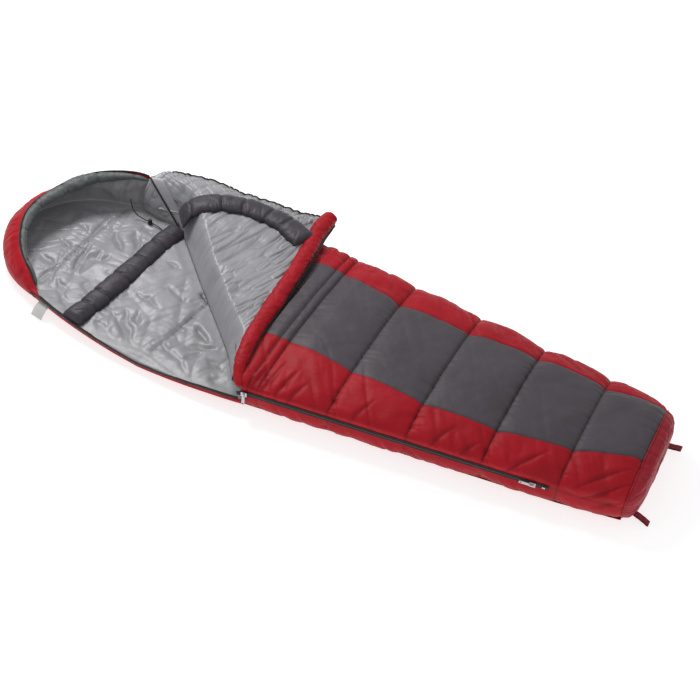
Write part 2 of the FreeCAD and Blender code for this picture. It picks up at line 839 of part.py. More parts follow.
PLATE_LOW = size("tape_stand_off") + size("tape_thickness") + size("slider_gap")
PLATE_TOP = PLATE_LOW + size("slider_plate")
PIN_LEVEL = PLATE_TOP + 0.5 * (size("crown_rise") - size("crown_bar"))


def add_slider(name, run, turn):
    """Slider bridging the coil, with a crown that the pull hangs in."""
    body = new_body(name)
    plate = sketch_on(body, "XY_Plane", name + "_plate", PLATE_LOW)
    rectangle(plate, "Sizes.slider_length", "Sizes.slider_width")
    pad(body, plate, "Sizes.slider_plate")
    channel = sketch_on(body, "YZ_Plane", name + "_channel")
    rectangle(channel, "Sizes.coil_width + 2 * Sizes.slider_gap",
              "Sizes.coil_height + 2 * Sizes.slider_gap", str(PLATE_LOW - size("slider_gap")))
    pocket(body, channel, "Sizes.slider_length * 2", symmetric=True)
    crown = sketch_on(body, "XZ_Plane" if turn == 0 else "YZ_Plane", name + "_crown")
    low = str(PLATE_TOP)
    rectangle(crown, "Sizes.crown_length", "Sizes.crown_rise", low)
    pad(body, crown, "Sizes.crown_width", symmetric=True)
    eye = sketch_on(body, "XZ_Plane" if turn == 0 else "YZ_Plane", name + "_eye")
    rectangle(eye, "Sizes.crown_length - 2 * Sizes.crown_bar",
              "Sizes.crown_rise - Sizes.crown_bar", low)
    pocket(body, eye, "Sizes.crown_width * 2", symmetric=True)
    body.Placement = zip_placement(run)
    return body


def add_pull(name, run, turn):
    """Flat pull on a fork whose pin passes through the slider's crown."""
    length, width = size("pull_length"), size("pull_width")
    thick, arm = size("pull_thickness"), 1.6
    inner = size("crown_width") / 2 + size("slider_gap") + 0.2
    reach = size("crown_length") / 2 + size("crown_rise") / 2
    blade = Part.makeBox(length, width, thick, Vector(reach, -width / 2, -thick / 2))
    tip = reach + length
    hole = Part.makeCylinder(size("pull_hole_radius"), 2 * thick, Vector(tip - 5, 0, -thick))
    blade = blade.cut(hole)
    corner_edges = [
        e for e in blade.Edges
        if abs(e.BoundBox.ZLength - thick) < 1e-6 and e.BoundBox.XMin > tip - 1e-6
    ]
    blade = blade.makeFillet(2.5, corner_edges)
    arms = [
        Part.makeBox(reach + 1, arm, thick, Vector(-1, y, -thick / 2))
        for y in (inner, -inner - arm)
    ]
    pin = Part.makeCylinder(
        size("pull_pin_radius"), 2 * inner, Vector(0, -inner, 0), Vector(0, 1, 0))
    shape = blade.multiFuse(arms + [pin]).removeSplitter()
    frame = zip_placement(run)
    spin = Rotation(Vector(0, 0, 1), turn)
    feature(name, shape, Placement(
        frame.multVec(Vector(0, 0, PIN_LEVEL)), frame.Rotation * spin))


# ---------------------------------------------------------------- hanging loops, label
def add_loop(name, side):
    """Webbing loop sewn to the foot panel by both ends."""
    body = new_body(name)
    outer = sketch_on(body, "XZ_Plane", name + "_outer")
    rectangle(outer, "Sizes.loop_length", "Sizes.loop_rise")
    pad(body, outer, "Sizes.loop_width", symmetric=True)
    eye = sketch_on(body, "XZ_Plane", name + "_eye")
    rectangle(eye, "Sizes.loop_length - 2 * Sizes.webbing", "Sizes.loop_rise - 2 * Sizes.webbing")
    pocket(body, eye, "Sizes.loop_width * 2", symmetric=True)
    DOC.recompute()
    tip = size("loop_length") / 2
    rims = [
        f"Edge{i + 1}" for i, e in enumerate(body.Shape.Edges)
        if abs(e.BoundBox.YLength - size("loop_width")) < 1e-6
        and abs(abs(e.BoundBox.Center.z) - size("loop_rise") / 2) < 1e-6
        and e.BoundBox.Center.x > tip - 1e-6
    ]
    base = body.Tip
    rounding = body.newObject("PartDesign::Fillet", name + "_rounding")
    rounding.Base = (base, rims)
    rounding.setExpression("Radius", "Sizes.webbing")
    body.Tip = rounding
    low = 0.5 * size("foot_crown") * (1 - size("foot_bulge_share"))
    level = low + size("loop_rise") / 2 + FABRIC
    end = size("bag_length") + size("foot_bulge") + tip
    body.Placement = Placement(spot(end, side * size("loop_side"), level), Rotation())


def edge_plate(name, station, length, width, thickness, out, level):
    """Flat piece square to the zipper-side edge; out is how far it stands outside."""
    edge = PLAN.on_shoulder(station, -1)
    slope = PLAN.on_shoulder(station + 1, -1) - PLAN.on_shoulder(station - 1, -1)
    turn = Rotation(Vector(0, 0, 1), math.degrees(math.atan2(slope.y, slope.x)))
    plate = DOC.addObject("Part::Box", name)
    plate.Label = name
    plate.setExpression("Length", length)
    plate.setExpression("Width", width)
    plate.setExpression("Height", thickness)
    DOC.recompute()
    corner = Vector(-plate.Length.Value / 2, -out, level)
    plate.Placement = Placement(edge + turn.multVec(corner), turn)
    NODES.append(plate)


def add_label_and_garage():
    """Blank woven label hanging from the edge seam, and the zipper's garage tab."""
    edge_plate(
        "side_label", size("label_station"), "Sizes.label_width", "Sizes.label_length",
        "Sizes.label_thickness", size("label_length") + size("layer_clearance") * 2,
        size("label_level"))
    edge_plate(
        "zipper_garage_tab", size("garage_station"), "Sizes.garage_length", "Sizes.garage_width",
        "Sizes.garage_thickness", size("open_tape_overhang"),
        BASE_TOP + size("tape_thickness") + size("coil_height"))


# ---------------------------------------------------------------- drawcord and its lock
LOCK_FLOOR = BASE_TOP + size("layer_clearance")
CORD_BORE = size("cord_diameter") / 2 + size("cord_clearance")
BUTTON_LOW = size("lock_floor") + size("spring_rise")
CORD_RISE = BUTTON_LOW + size("button_bar") + CORD_BORE
CORD_LEVEL = LOCK_FLOOR + CORD_RISE
CORD_ROUTE = [
    Vector(-765.8, 210.7, 110.4),
    Vector(-764.0, 211.5, 82.0),
    Vector(-748.0, 216.0, 52.0),
    Vector(-722.0, 216.0, CORD_LEVEL),
    Vector(-668.0, 211.0, CORD_LEVEL),
    Vector(-641.0, 202.0, 40.5),
]


def rounded_path(points):
    """Straight runs joined by tangent arcs as large as the runs allow."""
    edges, start = [], points[0]
    for before, corner, after in zip(points, points[1:], points[2:]):
        back, onward = before - corner, after - corner
        turn = math.pi - back.getAngle(onward)
        trim = 0.45 * min(back.Length, onward.Length)
        radius = trim / math.tan(turn / 2)
        print(f"cord bend at {corner}: radius {radius:.1f} mm")
        back.normalize()
        onward.normalize()
        depth = radius / math.cos(turn / 2) - radius
        middle = corner + (back + onward).normalize() * depth
        first, last = corner + back * trim, corner + onward * trim
        edges += [Part.makeLine(start, first), three_point_arc(first, middle, last)]
        start = last
    edges.append(Part.makeLine(start, points[-1]))
    return Part.Wire(edges)


def add_drawcord():
    """Cord out of the hood's rim, lying on the lining and ending in a knot."""
    path = rounded_path(CORD_ROUTE)
    radius = size("cord_diameter") / 2
    direction = (CORD_ROUTE[1] - CORD_ROUTE[0]).normalize()
    circle = Part.Circle(CORD_ROUTE[0], direction, radius).toShape()
    tube = path.makePipeShell([Part.Wire(circle)], True, False)
    print(f"cord volume ratio {tube.Volume / (math.pi * radius**2 * path.Length):.4f}")
    print(f"cord length {path.Length:.1f} mm")
    feature("hood_drawcord", tube)
    end = (CORD_ROUTE[-1] - CORD_ROUTE[-2]).normalize()
    knot = Part.makeCylinder(size("cord_diameter"), 2 * size("cord_diameter"), CORD_ROUTE[-1], end)
    feature("cord_end_knot", knot)


def add_cord_lock():
    """Barrel lock on the drawcord with a sprung button."""
    start, end = CORD_ROUTE[3], CORD_ROUTE[4]
    along = (end - start).normalize()
    place = start + along * size("lock_distance")
    turn = Rotation(Vector(0, 0, 1), math.degrees(math.atan2(along.y, along.x)))
    frame = Placement(Vector(place.x, place.y, LOCK_FLOOR), turn)
    height, radius = size("lock_height"), size("lock_radius")
    through = Part.makeCylinder(
        CORD_BORE, 4 * radius, Vector(-2 * radius, 0, CORD_RISE), Vector(1, 0, 0))
    cavity = Part.makeCylinder(size("lock_bore"), height, Vector(0, 0, size("lock_floor")))
    feature("cord_lock_barrel", Part.makeCylinder(radius, height).cut(cavity).cut(through), frame)
    button = Part.makeCylinder(
        size("button_radius"), size("button_top") - BUTTON_LOW, Vector(0, 0, BUTTON_LOW))
    slot = Part.makeBox(
        4 * radius, 2 * CORD_BORE, 2 * CORD_BORE + size("button_stroke"),
        Vector(-2 * radius, -CORD_BORE, CORD_RISE - CORD_BORE))
    feature("cord_lock_button", button.cut(slot), frame)
    gap, wire = size("spring_clearance"), size("spring_wire")
    low, rise = size("lock_floor") + gap, size("spring_rise") - 2 * gap
    outer = Part.makeCylinder(size("spring_radius") + wire, rise, Vector(0, 0, low))
    inner = Part.makeCylinder(size("spring_radius") - wire, rise, Vector(0, 0, low))
    feature("cord_lock_spring", outer.cut(inner), frame)


# ---------------------------------------------------------------- build
add_bottom_layer()
add_closed_tube()
add_foot_box()
add_shoulder_quilt()
add_shoulder_wall()
add_flap()
add_collars()
add_hood()
add_closed_zipper()
add_open_zipper()
HALF_SLIDER = size("slider_length") / 2
add_slider("upper_slider", HALF_SLIDER, 90)
add_pull("upper_pull", HALF_SLIDER, -90)
add_slider("lower_slider", size("lower_slider_run"), 0)
add_pull("lower_pull", size("lower_slider_run"), 180)
add_loop("far_hanging_loop", 1)
add_loop("near_hanging_loop", -1)
add_label_and_garage()
add_drawcord()
add_cord_lock()
DOC.recompute()

for item in DOC.Objects:
    if "Invalid" in item.State or "Error" in item.State:
        raise RuntimeError(f"{item.Name} did not compute: {item.State}")
os.makedirs("parts", exist_ok=True)
for node in NODES:
    if node.Shape.isNull() or not node.Shape.isValid():
        raise RuntimeError(f"{node.Label} has no valid shape")
    node.Shape.exportStep(f"parts/{node.Label}.step")
    print(f"{node.Label}: {len(node.Shape.Solids)} solid, {node.Shape.Volume / 1000:.2f} cm3")
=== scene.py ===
"""Looks of the mummy sleeping bag: quilted shells, linings, collars, zipper, cord and studio."""
import json
import math

import bpy
import numpy as np
from mathutils import Matrix, Vector

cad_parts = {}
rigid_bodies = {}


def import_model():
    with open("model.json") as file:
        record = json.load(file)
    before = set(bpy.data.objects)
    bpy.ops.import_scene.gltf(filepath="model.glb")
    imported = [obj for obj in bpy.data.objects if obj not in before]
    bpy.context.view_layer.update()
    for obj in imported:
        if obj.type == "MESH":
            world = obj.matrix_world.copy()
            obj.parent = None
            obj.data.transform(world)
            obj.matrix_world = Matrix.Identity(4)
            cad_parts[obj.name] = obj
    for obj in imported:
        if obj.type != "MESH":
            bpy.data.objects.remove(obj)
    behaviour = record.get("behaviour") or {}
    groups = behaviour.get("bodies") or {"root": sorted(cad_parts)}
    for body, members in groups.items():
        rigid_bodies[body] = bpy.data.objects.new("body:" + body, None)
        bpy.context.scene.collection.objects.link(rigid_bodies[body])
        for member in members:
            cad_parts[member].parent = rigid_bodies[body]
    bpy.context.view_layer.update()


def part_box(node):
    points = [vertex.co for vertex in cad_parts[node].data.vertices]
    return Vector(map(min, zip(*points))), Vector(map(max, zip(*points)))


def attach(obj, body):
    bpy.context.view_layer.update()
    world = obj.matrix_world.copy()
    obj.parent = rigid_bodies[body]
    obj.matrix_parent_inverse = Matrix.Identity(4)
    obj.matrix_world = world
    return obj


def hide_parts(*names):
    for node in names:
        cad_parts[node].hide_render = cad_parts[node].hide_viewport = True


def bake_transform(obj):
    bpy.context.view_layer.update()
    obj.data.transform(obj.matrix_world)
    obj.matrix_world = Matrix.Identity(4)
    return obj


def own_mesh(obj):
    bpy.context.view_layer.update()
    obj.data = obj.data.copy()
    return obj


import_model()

# ---------------------------------------------------------------- sizes, metres
LENGTH = 2.090
HEAD = 0.270
MOUTH, KNEE = 0.985, 1.910
MOUTH_HALF, KNEE_HALF, FOOT_HALF = 0.350, 0.240, 0.208
SPRING = 0.090
BASE = 0.035
QUILT = 0.032
QUILT_TOP = 0.117
CAVITY = 0.085
QUILT_LINES = (1.000, 1.030, 1.240, 1.470, 1.690, 1.906, 2.092)
ZIP_PART = 0.886
LABEL_WIDTH = 0.043
CORD_LENGTH, CORD_THICKNESS = 0.1706, 0.0035
STEP = 0.005


def at_x(station):
    return station - LENGTH / 2


# ---------------------------------------------------------------- camera, light, floor
AZIMUTH, ELEVATION, ROLL = (math.radians(angle) for angle in (19.893, 42.242, 8.015))
CAMERA_PLACE = (1.270, -3.177, 3.118)


def add_object(name, data):
    made = bpy.data.objects.new(name, data)
    bpy.context.scene.collection.objects.link(made)
    return made


def make_camera():
    data = bpy.data.cameras.new("camera")
    data.lens = 78.65
    data.sensor_width = 36.0
    camera = add_object("camera", data)
    turn = (Matrix.Rotation(AZIMUTH, 4, "Z") @ Matrix.Rotation(math.pi / 2 - ELEVATION, 4, "X")
            @ Matrix.Rotation(ROLL, 4, "Z"))
    camera.matrix_world = Matrix.Translation(CAMERA_PLACE) @ turn
    bpy.context.scene.camera = camera


def new_material(name):
    material = bpy.data.materials.new(name)
    material.use_nodes = True
    tree = material.node_tree
    return material, tree, tree.nodes["Principled BSDF"]


def set_inputs(thing, **values):
    """Set a shader node's inputs; an underscore stands for a space."""
    for name, value in values.items():
        thing.inputs[name.replace("_", " ")].default_value = value


def area_light(name, place, target, power, width):
    data = bpy.data.lights.new(name, "AREA")
    data.energy = power
    data.shape = "DISK"
    data.size = width
    light = add_object(name, data)
    light.location = place
    light.rotation_euler = (Vector(target) - Vector(place)).to_track_quat("-Z", "Y").to_euler()


def make_studio():
    world = bpy.data.worlds.new("studio")
    bpy.context.scene.world = world
    world.use_nodes = True
    background = world.node_tree.nodes["Background"]
    background.inputs["Color"].default_value = (1.0, 1.0, 1.0, 1.0)
    background.inputs["Strength"].default_value = 0.50
    area_light("key", (-1.9, 0.9, 2.4), (-0.1, 0.0, 0.0), 62.0, 1.1)
    area_light("fill", (2.2, -2.6, 2.4), (0.2, 0.0, 0.0), 9.0, 2.2)
    bpy.context.scene.view_settings.view_transform = "Standard"

    mesh = bpy.data.meshes.new("floor")
    reach = 6.0
    corners = [(-reach, -reach), (reach, -reach), (reach, reach), (-reach, reach)]
    mesh.from_pydata([(x, y, -0.0005) for x, y in corners], [], [(0, 1, 2, 3)])
    floor = add_object("floor", mesh)
    material, _, shader = new_material("pale_floor")
    set_inputs(shader, Base_Color=(0.50, 0.50, 0.50, 1.0), Roughness=0.9,
               Emission_Color=(1.0, 1.0, 1.0, 1.0), Emission_Strength=0.72)
    mesh.materials.append(material)


# ---------------------------------------------------------------- materials
def node(tree, kind, source=None, **values):
    """New shader node: inputs set by name, and a source linked to one of them, (input, output)."""
    made = tree.nodes.new("ShaderNode" + kind)
    set_inputs(made, **values)
    if source:
        tree.links.new(source[1], made.inputs[source[0]])
    return made


def weave_height(tree, coordinates, threads):
    """Height of a plain weave: two crossed sets of threads."""
    waves = []
    for direction in ("X", "Y"):
        wave = node(tree, "TexWave", ("Vector", coordinates), Scale=threads, Distortion=0.3)
        wave.bands_direction = direction
        waves.append(wave.outputs["Fac"])
    total = node(tree, "Math", (0, waves[0]))
    total.operation = "ADD"
    tree.links.new(waves[1], total.inputs[1])
    return total.outputs[0]


def fabric(name, colour, roughness=0.5, sheen=0.25, threads=260.0, bump=0.10, shaded=True,
           dark=0.30, mottling=0.10, gloss=0.4):
    """Woven cloth: colour that varies a little, thread relief, sheen, and painted shade darkening its
    creases, seams and hollows; dark sets the colour that shade reaches.
    """
    material, tree, shader = new_material(name)
    place = node(tree, "TexCoord").outputs["Object"]
    spots = node(tree, "TexNoise", ("Vector", place), Scale=9.0, Detail=6.0)
    ramp = node(tree, "ValToRGB", ("Fac", spots.outputs["Fac"]))
    for stop, spot, share in zip(ramp.color_ramp.elements, (0.3, 0.7), (1.0 - mottling, 1.0 + mottling)):
        stop.position = spot
        stop.color = tuple(min(1.0, c * share) for c in colour) + (1.0,)
    result = ramp.outputs["Color"]
    if shaded:
        # painted shade: a per-point attribute mixes the colour towards colour * dark in creases, seams and
        # hollows where shade falls
        painted_crease_shade = node(tree, "Attribute")
        painted_crease_shade.attribute_name = "painted_crease_shade"
        mix = node(tree, "Mix")
        mix.data_type = "RGBA"
        tree.links.new(painted_crease_shade.outputs["Fac"], mix.inputs["Factor"])
        tree.links.new(result, mix.inputs["A"])
        mix.inputs["B"].default_value = tuple(c * dark for c in colour) + (1.0,)
        result = mix.outputs["Result"]
    tree.links.new(result, shader.inputs["Base Color"])
    set_inputs(shader, Roughness=roughness, Sheen_Weight=sheen, Sheen_Roughness=0.4,
               Specular_IOR_Level=gloss)
    crumple = node(tree, "TexNoise", ("Vector", place), Scale=55.0, Detail=5.0)
    soft = node(tree, "Bump", ("Height", crumple.outputs["Fac"]), Strength=0.35, Distance=0.003)
    relief = node(tree, "Bump", ("Height", weave_height(tree, place, threads)), Strength=bump,
                  Distance=0.0004)
    tree.links.new(soft.outputs["Normal"], relief.inputs["Normal"])
    tree.links.new(relief.outputs["Normal"], shader.inputs["Normal"])
    return material


def hard(name, colour, metallic, roughness, grain=220.0, coat=0.0):
    """Metal or moulded plastic with fine wear in its finish."""
    material, tree, shader = new_material(name)
    set_inputs(shader, Base_Color=(*colour, 1.0), Metallic=metallic, Coat_Weight=coat)
    place = node(tree, "TexCoord").outputs["Object"]
    wear = node(tree, "TexNoise", ("Vector", place), Scale=grain, Detail=4.0).outputs["Fac"]
    spread = node(tree, "MapRange", ("Value", wear), To_Min=roughness * 0.7,
                  To_Max=min(1.0, roughness * 1.4))
    tree.links.new(spread.outputs["Result"], shader.inputs["Roughness"])
    bump = node(tree, "Bump", ("Height", wear), Strength=0.15, Distance=0.0003)
    tree.links.new(bump.outputs["Normal"], shader.inputs["Normal"])
    return material


RED = fabric("shell_red", (0.380, 0.0065, 0.0150), roughness=0.52, sheen=0.0, gloss=0.16)
FOOT_RED = fabric("shell_foot", (0.330, 0.016, 0.028), roughness=0.55, sheen=0.05, gloss=0.18)
CHARCOAL = fabric("panel_charcoal", (0.074, 0.063, 0.074), roughness=0.5, sheen=0.04, dark=0.2, gloss=0.25)
SILVER = fabric("lining_silver", (0.300, 0.300, 0.318), roughness=0.36, sheen=0.1, dark=0.25,
                mottling=0.07)
COLLAR = fabric("collar_charcoal", (0.050, 0.043, 0.053), roughness=0.5, sheen=0.05, dark=0.2, gloss=0.3)
BAND = fabric("face_band", (0.080, 0.090, 0.090), roughness=0.5, sheen=0.3, dark=0.25)
BLACK = fabric("binding_black", (0.012, 0.009, 0.010), roughness=0.7, sheen=0.1, threads=420.0,
               bump=0.3, shaded=False)
TAPE = fabric("zipper_tape", (0.014, 0.010, 0.010), roughness=0.75, sheen=0.1, threads=520.0,
              bump=0.4, shaded=False)
WEBBING = fabric("webbing", (0.24, 0.012, 0.022), roughness=0.65, sheen=0.2, threads=340.0,
                 bump=0.5, shaded=False)
LABEL = fabric("label_cloth", (0.62, 0.62, 0.62), roughness=0.5, sheen=0.2, threads=420.0,
               bump=0.2, shaded=False)
CORD = fabric("cord_braid", (0.014, 0.012, 0.013), roughness=0.7, threads=700.0, bump=0.6,
              shaded=False)
TEETH = hard("zipper_coil", (0.020, 0.017, 0.018), 0.0, 0.3, coat=0.3)
METAL = hard("slider_metal", (0.50, 0.50, 0.52), 1.0, 0.30)
PLASTIC = hard("lock_plastic", (0.018, 0.018, 0.020), 0.0, 0.42)
STEEL = hard("spring_steel", (0.6, 0.6, 0.62), 1.0, 0.3)


# ---------------------------------------------------------------- numbers in bulk
LATTICES = {}


def noise(x, y, seed):
    """Smooth random heights between -1 and 1 on a plane."""
    if seed not in LATTICES:
        LATTICES[seed] = np.random.default_rng(seed).uniform(-1, 1, (97, 97))
    table = LATTICES[seed]
    x, y = np.broadcast_arrays(np.asarray(x, float), np.asarray(y, float))
    xi, yi = np.floor(x).astype(int), np.floor(y).astype(int)
    fx, fy = x - xi, y - yi
    fx, fy = fx * fx * (3 - 2 * fx), fy * fy * (3 - 2 * fy)

    def corner(i, j):
        return table[(xi + i) % 97, (yi + j) % 97]

    low = corner(0, 0) * (1 - fx) + corner(1, 0) * fx
    high = corner(0, 1) * (1 - fx) + corner(1, 1) * fx
    return low * (1 - fy) + high * fy


def billow(x, y, seed):
    """Noise in three octaves."""
    return noise(x, y, seed) + 0.5 * noise(2.1 * x, 2.1 * y, seed + 1) + 0.25 * noise(
        4.3 * x, 4.3 * y, seed + 2)


def valleys(x, y, seed, sharp=2.6):
    """Narrow winding creases, 1 in their depth and 0 away from them."""
    return np.clip(1 - sharp * np.abs(noise(x, y, seed)), 0, 1) ** 2


def smooth(value, low, high):
    share = np.clip((value - low) / (high - low), 0, 1)
    return share * share * (3 - 2 * share)


def near_line(value, width):
    return np.exp(-(value / width) ** 2)


def crease_between(a, b, start, end, width):
    """1 along a segment in the plane of a and b, fading to its sides and its ends."""
    start, end = np.array(start), np.array(end)
    span = end - start
    share = np.clip(((a - start[0]) * span[0] + (b - start[1]) * span[1]) / (span @ span), 0, 1)
    away = np.hypot(a - start[0] - share * span[0], b - start[1] - share * span[1])
    taper = 0.35 + 0.65 * np.sin(np.pi * np.clip(share, 0.02, 0.98))
    return np.exp(-(away / (width * taper)) ** 2) * taper


def pillow(value, lines, power=2.4):
    """Rounded height between stitched lines: 0 on a line, 1 half way to the next."""
    height = np.zeros_like(value)
    for low, high in zip(lines, lines[1:]):
        inside = (value >= low) & (value < high)
        share = (value - low) / (high - low)
        height = np.where(inside, np.sqrt(np.clip(1 - np.abs(2 * share - 1) ** power, 0, 1)), height)
    return height


# ---------------------------------------------------------------- meshes
def build(name, grids, material, body, nodes=(), creases=None, rides=True):
    """One piece from grids of points; creases holds, for each grid, the painted shade of its creases and
    seams, stored in a point attribute.
    """
    points, faces, painted_shade = [], [], []
    for index, grid in enumerate(grids):
        rows, columns = grid.shape[:2]
        first = sum(len(p) for p in points)
        points.append(grid.reshape(-1, 3))
        value = np.zeros(grid.shape[:2]) if creases is None else creases[index]
        painted_shade.append(np.clip(value, 0, 1).reshape(-1))
        ids = first + np.arange(rows * columns).reshape(rows, columns)
        quads = np.stack([ids[:-1, :-1], ids[1:, :-1], ids[1:, 1:], ids[:-1, 1:]], -1)
        faces.append(quads.reshape(-1, 4))
    mesh = bpy.data.meshes.new(name)
    mesh.from_pydata(np.concatenate(points).tolist(), [], np.concatenate(faces).tolist())
    mesh.polygons.foreach_set("use_smooth", [True] * len(mesh.polygons))
    # painted shade per point, read by the fabric material to darken the colour
    attribute = mesh.attributes.new("painted_crease_shade", "FLOAT", "POINT")
    attribute.data.foreach_set("value", np.concatenate(painted_shade).astype(np.float32))
    mesh.materials.append(material)
    mesh.validate()
    piece = add_object(name, mesh)
    if rides:
        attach(piece, body)
    if nodes:
        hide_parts(*nodes)
    return piece


def normals_of(grid):
    """Unit normals of a grid of points."""
    along = np.gradient(grid, axis=0)
    across = np.gradient(grid, axis=1)
    normal = np.cross(along, across)
    size = np.linalg.norm(normal, axis=2, keepdims=True)
    return normal / np.maximum(size, 1e-12)


def facing(grid, toward):
    """Unit normals of a grid, each turned to the side that its own direction points to."""
    normal = normals_of(grid)
    flip = np.sign(np.sum(normal * toward, axis=2))
    return normal * np.where(flip == 0, 1, flip)[..., None]


def runs_along(path):
    """Distance along a path from its start to each of its points."""
    return np.concatenate([[0], np.cumsum(np.linalg.norm(np.diff(path, axis=0), axis=1))])


def corners_of(name):
    """Lowest and highest corner of a solid's box."""
    return (np.array(corner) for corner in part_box(name))


def arc_lengths(grid):
    """Distance along each row of a grid from its first column."""
    steps = np.linalg.norm(np.diff(grid, axis=1), axis=2)
    return np.concatenate([np.zeros((len(grid), 1)), np.cumsum(steps, axis=1)], axis=1)


def tube_round(path, across, up, wide, high, sides=20):
    """Closed tube of elliptical section about a path, with its ends drawn in."""
    turn = np.linspace(0, 2 * np.pi, sides + 1)
    wide, high = np.asarray(wide)[:, None, None], np.asarray(high)[:, None, None]
    ring = across[:, None, :] * np.cos(turn)[None, :, None] * wide
    ring = ring + up[:, None, :] * np.sin(turn)[None, :, None] * high
    return path[:, None, :] + ring


def smooth_path(points, count):
    """Even points on a smooth curve through the given ones."""
    points = np.array(points, float)
    rough = []
    padded = np.vstack([2 * points[0] - points[1], points, 2 * points[-1] - points[-2]])
    for a, b, c, d in zip(padded, padded[1:], padded[2:], padded[3:]):
        for t in np.linspace(0, 1, 24, endpoint=False):
            rough.append(0.5 * (2 * b + (c - a) * t + (2 * a - 5 * b + 4 * c - d) * t**2
                                + (3 * b - a - 3 * c + d) * t**3))
    rough.append(points[-1])
    rough = np.array(rough)
    run = runs_along(rough)
    even = np.linspace(0, run[-1], count)
    return np.stack([np.interp(even, run, rough[:, k]) for k in range(3)], axis=1), run[-1]


def plate(points, thickness):
    """Top, underside and rim of a thin sheet given as a grid of points."""
    normal = normals_of(points) * thickness / 2
    top, low = points + normal, points - normal
    rim_top = np.concatenate([top[0], top[1:, -1], top[-1, -2::-1], top[-2::-1, 0]])
    rim_low = np.concatenate([low[0], low[1:, -1], low[-1, -2::-1], low[-2::-1, 0]])
    return [top, low[::-1], np.stack([rim_top, rim_low], axis=0)]


# ---------------------------------------------------------------- plan of the bag
def shoulder_arc():
    run, drop = KNEE - MOUTH, MOUTH_HALF - KNEE_HALF
    normal = np.array([drop, run]) / math.hypot(drop, run)
    mouth = np.array([MOUTH - HEAD, MOUTH_HALF])
    radius = (mouth @ mouth - HEAD**2) / (2 * (mouth @ normal - HEAD))
    centre = np.array([HEAD, 0.0]) + mouth - normal * radius
    away = np.array([HEAD, 0.0]) - centre
    join = centre + away / np.linalg.norm(away) * radius
    return radius, centre, join


SHOULDER, SHOULDER_CENTRE, JOIN = shoulder_arc()
JOIN_TURN = math.atan2(JOIN[1], HEAD - JOIN[0])
HEAD_RUN = HEAD * JOIN_TURN


def half_width(station):
    """Half width of the plan at a distance from the hood's tip."""
    station = np.asarray(station, float)
    head = np.sqrt(np.clip(HEAD**2 - (HEAD - station) ** 2, 0, None))
    arc = SHOULDER_CENTRE[1] + np.sqrt(SHOULDER**2 - (station - SHOULDER_CENTRE[0]) ** 2)
    taper = np.interp(station, [MOUTH, KNEE, LENGTH], [MOUTH_HALF, KNEE_HALF, FOOT_HALF])
    return np.where(station < JOIN[0], head, np.where(station < MOUTH, arc, taper))


def edge_frame(run):
    """Edge points and inward directions at runs along the edge from the hood's tip."""
    run = np.asarray(run, float)
    side, reach = np.where(run >= 0, 1.0, -1.0), np.abs(run)
    turn = reach / HEAD
    on_head = np.stack([HEAD - HEAD * np.cos(turn), HEAD * np.sin(turn)], -1)
    in_head = np.stack([np.cos(turn), -np.sin(turn)], -1)
    start = (SHOULDER_CENTRE - JOIN) / SHOULDER
    angle = -(reach - HEAD_RUN) / SHOULDER
    in_arc = np.stack([start[0] * np.cos(angle) - start[1] * np.sin(angle),
                       start[0] * np.sin(angle) + start[1] * np.cos(angle)], -1)
    on_arc = SHOULDER_CENTRE - in_arc * SHOULDER
    head = (reach <= HEAD_RUN)[..., None]
    point, inward = np.where(head, on_head, on_arc), np.where(head, in_head, in_arc)
    flip = np.stack([np.ones_like(side), side], -1)
    point, inward = point * flip, inward * flip
    point = np.concatenate([point, np.zeros_like(point[..., :1])], -1)
    point[..., 0] = at_x(point[..., 0])
    return point, np.concatenate([inward, np.zeros_like(inward[..., :1])], -1)


# ---------------------------------------------------------------- closed leg tube
PANEL_STATIONS = (0.34, 0.985, 1.03, 1.23, 1.467, 1.69, 1.906, 2.09)
PANEL_NEAR = (0.146, 0.146, 0.146, 0.166, 0.184, 0.173, 0.140, 0.088)
PANEL_FAR = (0.240, 0.235, 0.228, 0.175, 0.162, 0.168, 0.152, 0.160)


def tube_section(station, part):
    """Points of the tube, part 0 to 5 from the near ground over the top to the far ground.

    0-1 near wall, 1-2 near panel, 2-3 centre panel, 3-4 far panel, 4-5 far wall.
    """
    station, part = np.broadcast_arrays(station, part)
    width = half_width(station)
    crown = np.interp(station, [0.34, 0.86, 0.985, KNEE, LENGTH], [0.114, 0.115, 0.140, 0.157, 0.168])
    flat = np.interp(station, [0.9, 1.08], [0.5, 0.92])
    near = np.arccos(np.clip(np.interp(station, PANEL_STATIONS, PANEL_NEAR) / width, 0, 0.98))
    far = np.arccos(np.clip(np.interp(station, PANEL_STATIONS, PANEL_FAR) / width, 0, 0.98))
    angle = np.select(
        [part < 2, part < 3],
        [np.pi - near * np.clip(part - 1, 0, 1), (np.pi - near) + (far - np.pi + near) * (part - 2)],
        far * (1 - np.clip(part - 3, 0, 1)),
    )
    rise = crown - SPRING
    y, z = width * np.cos(angle), SPRING + rise * np.sin(np.clip(angle, 0, np.pi)) ** flat
    wall_near, wall_far = np.clip(1 - part, 0, 1), np.clip(part - 4, 0, 1)
    wall = np.maximum(wall_near, wall_far) * np.pi / 2
    roll = 0.045
    side = np.where(part < 1, -1.0, 1.0)
    low_y = side * (width - roll + roll * np.cos(wall))
    on_wall = wall > 0
    y = np.where(on_wall, low_y, y)
    z = np.where(on_wall, SPRING * (1 - np.sin(wall)), z)
    return np.stack([at_x(station), y, z], -1)


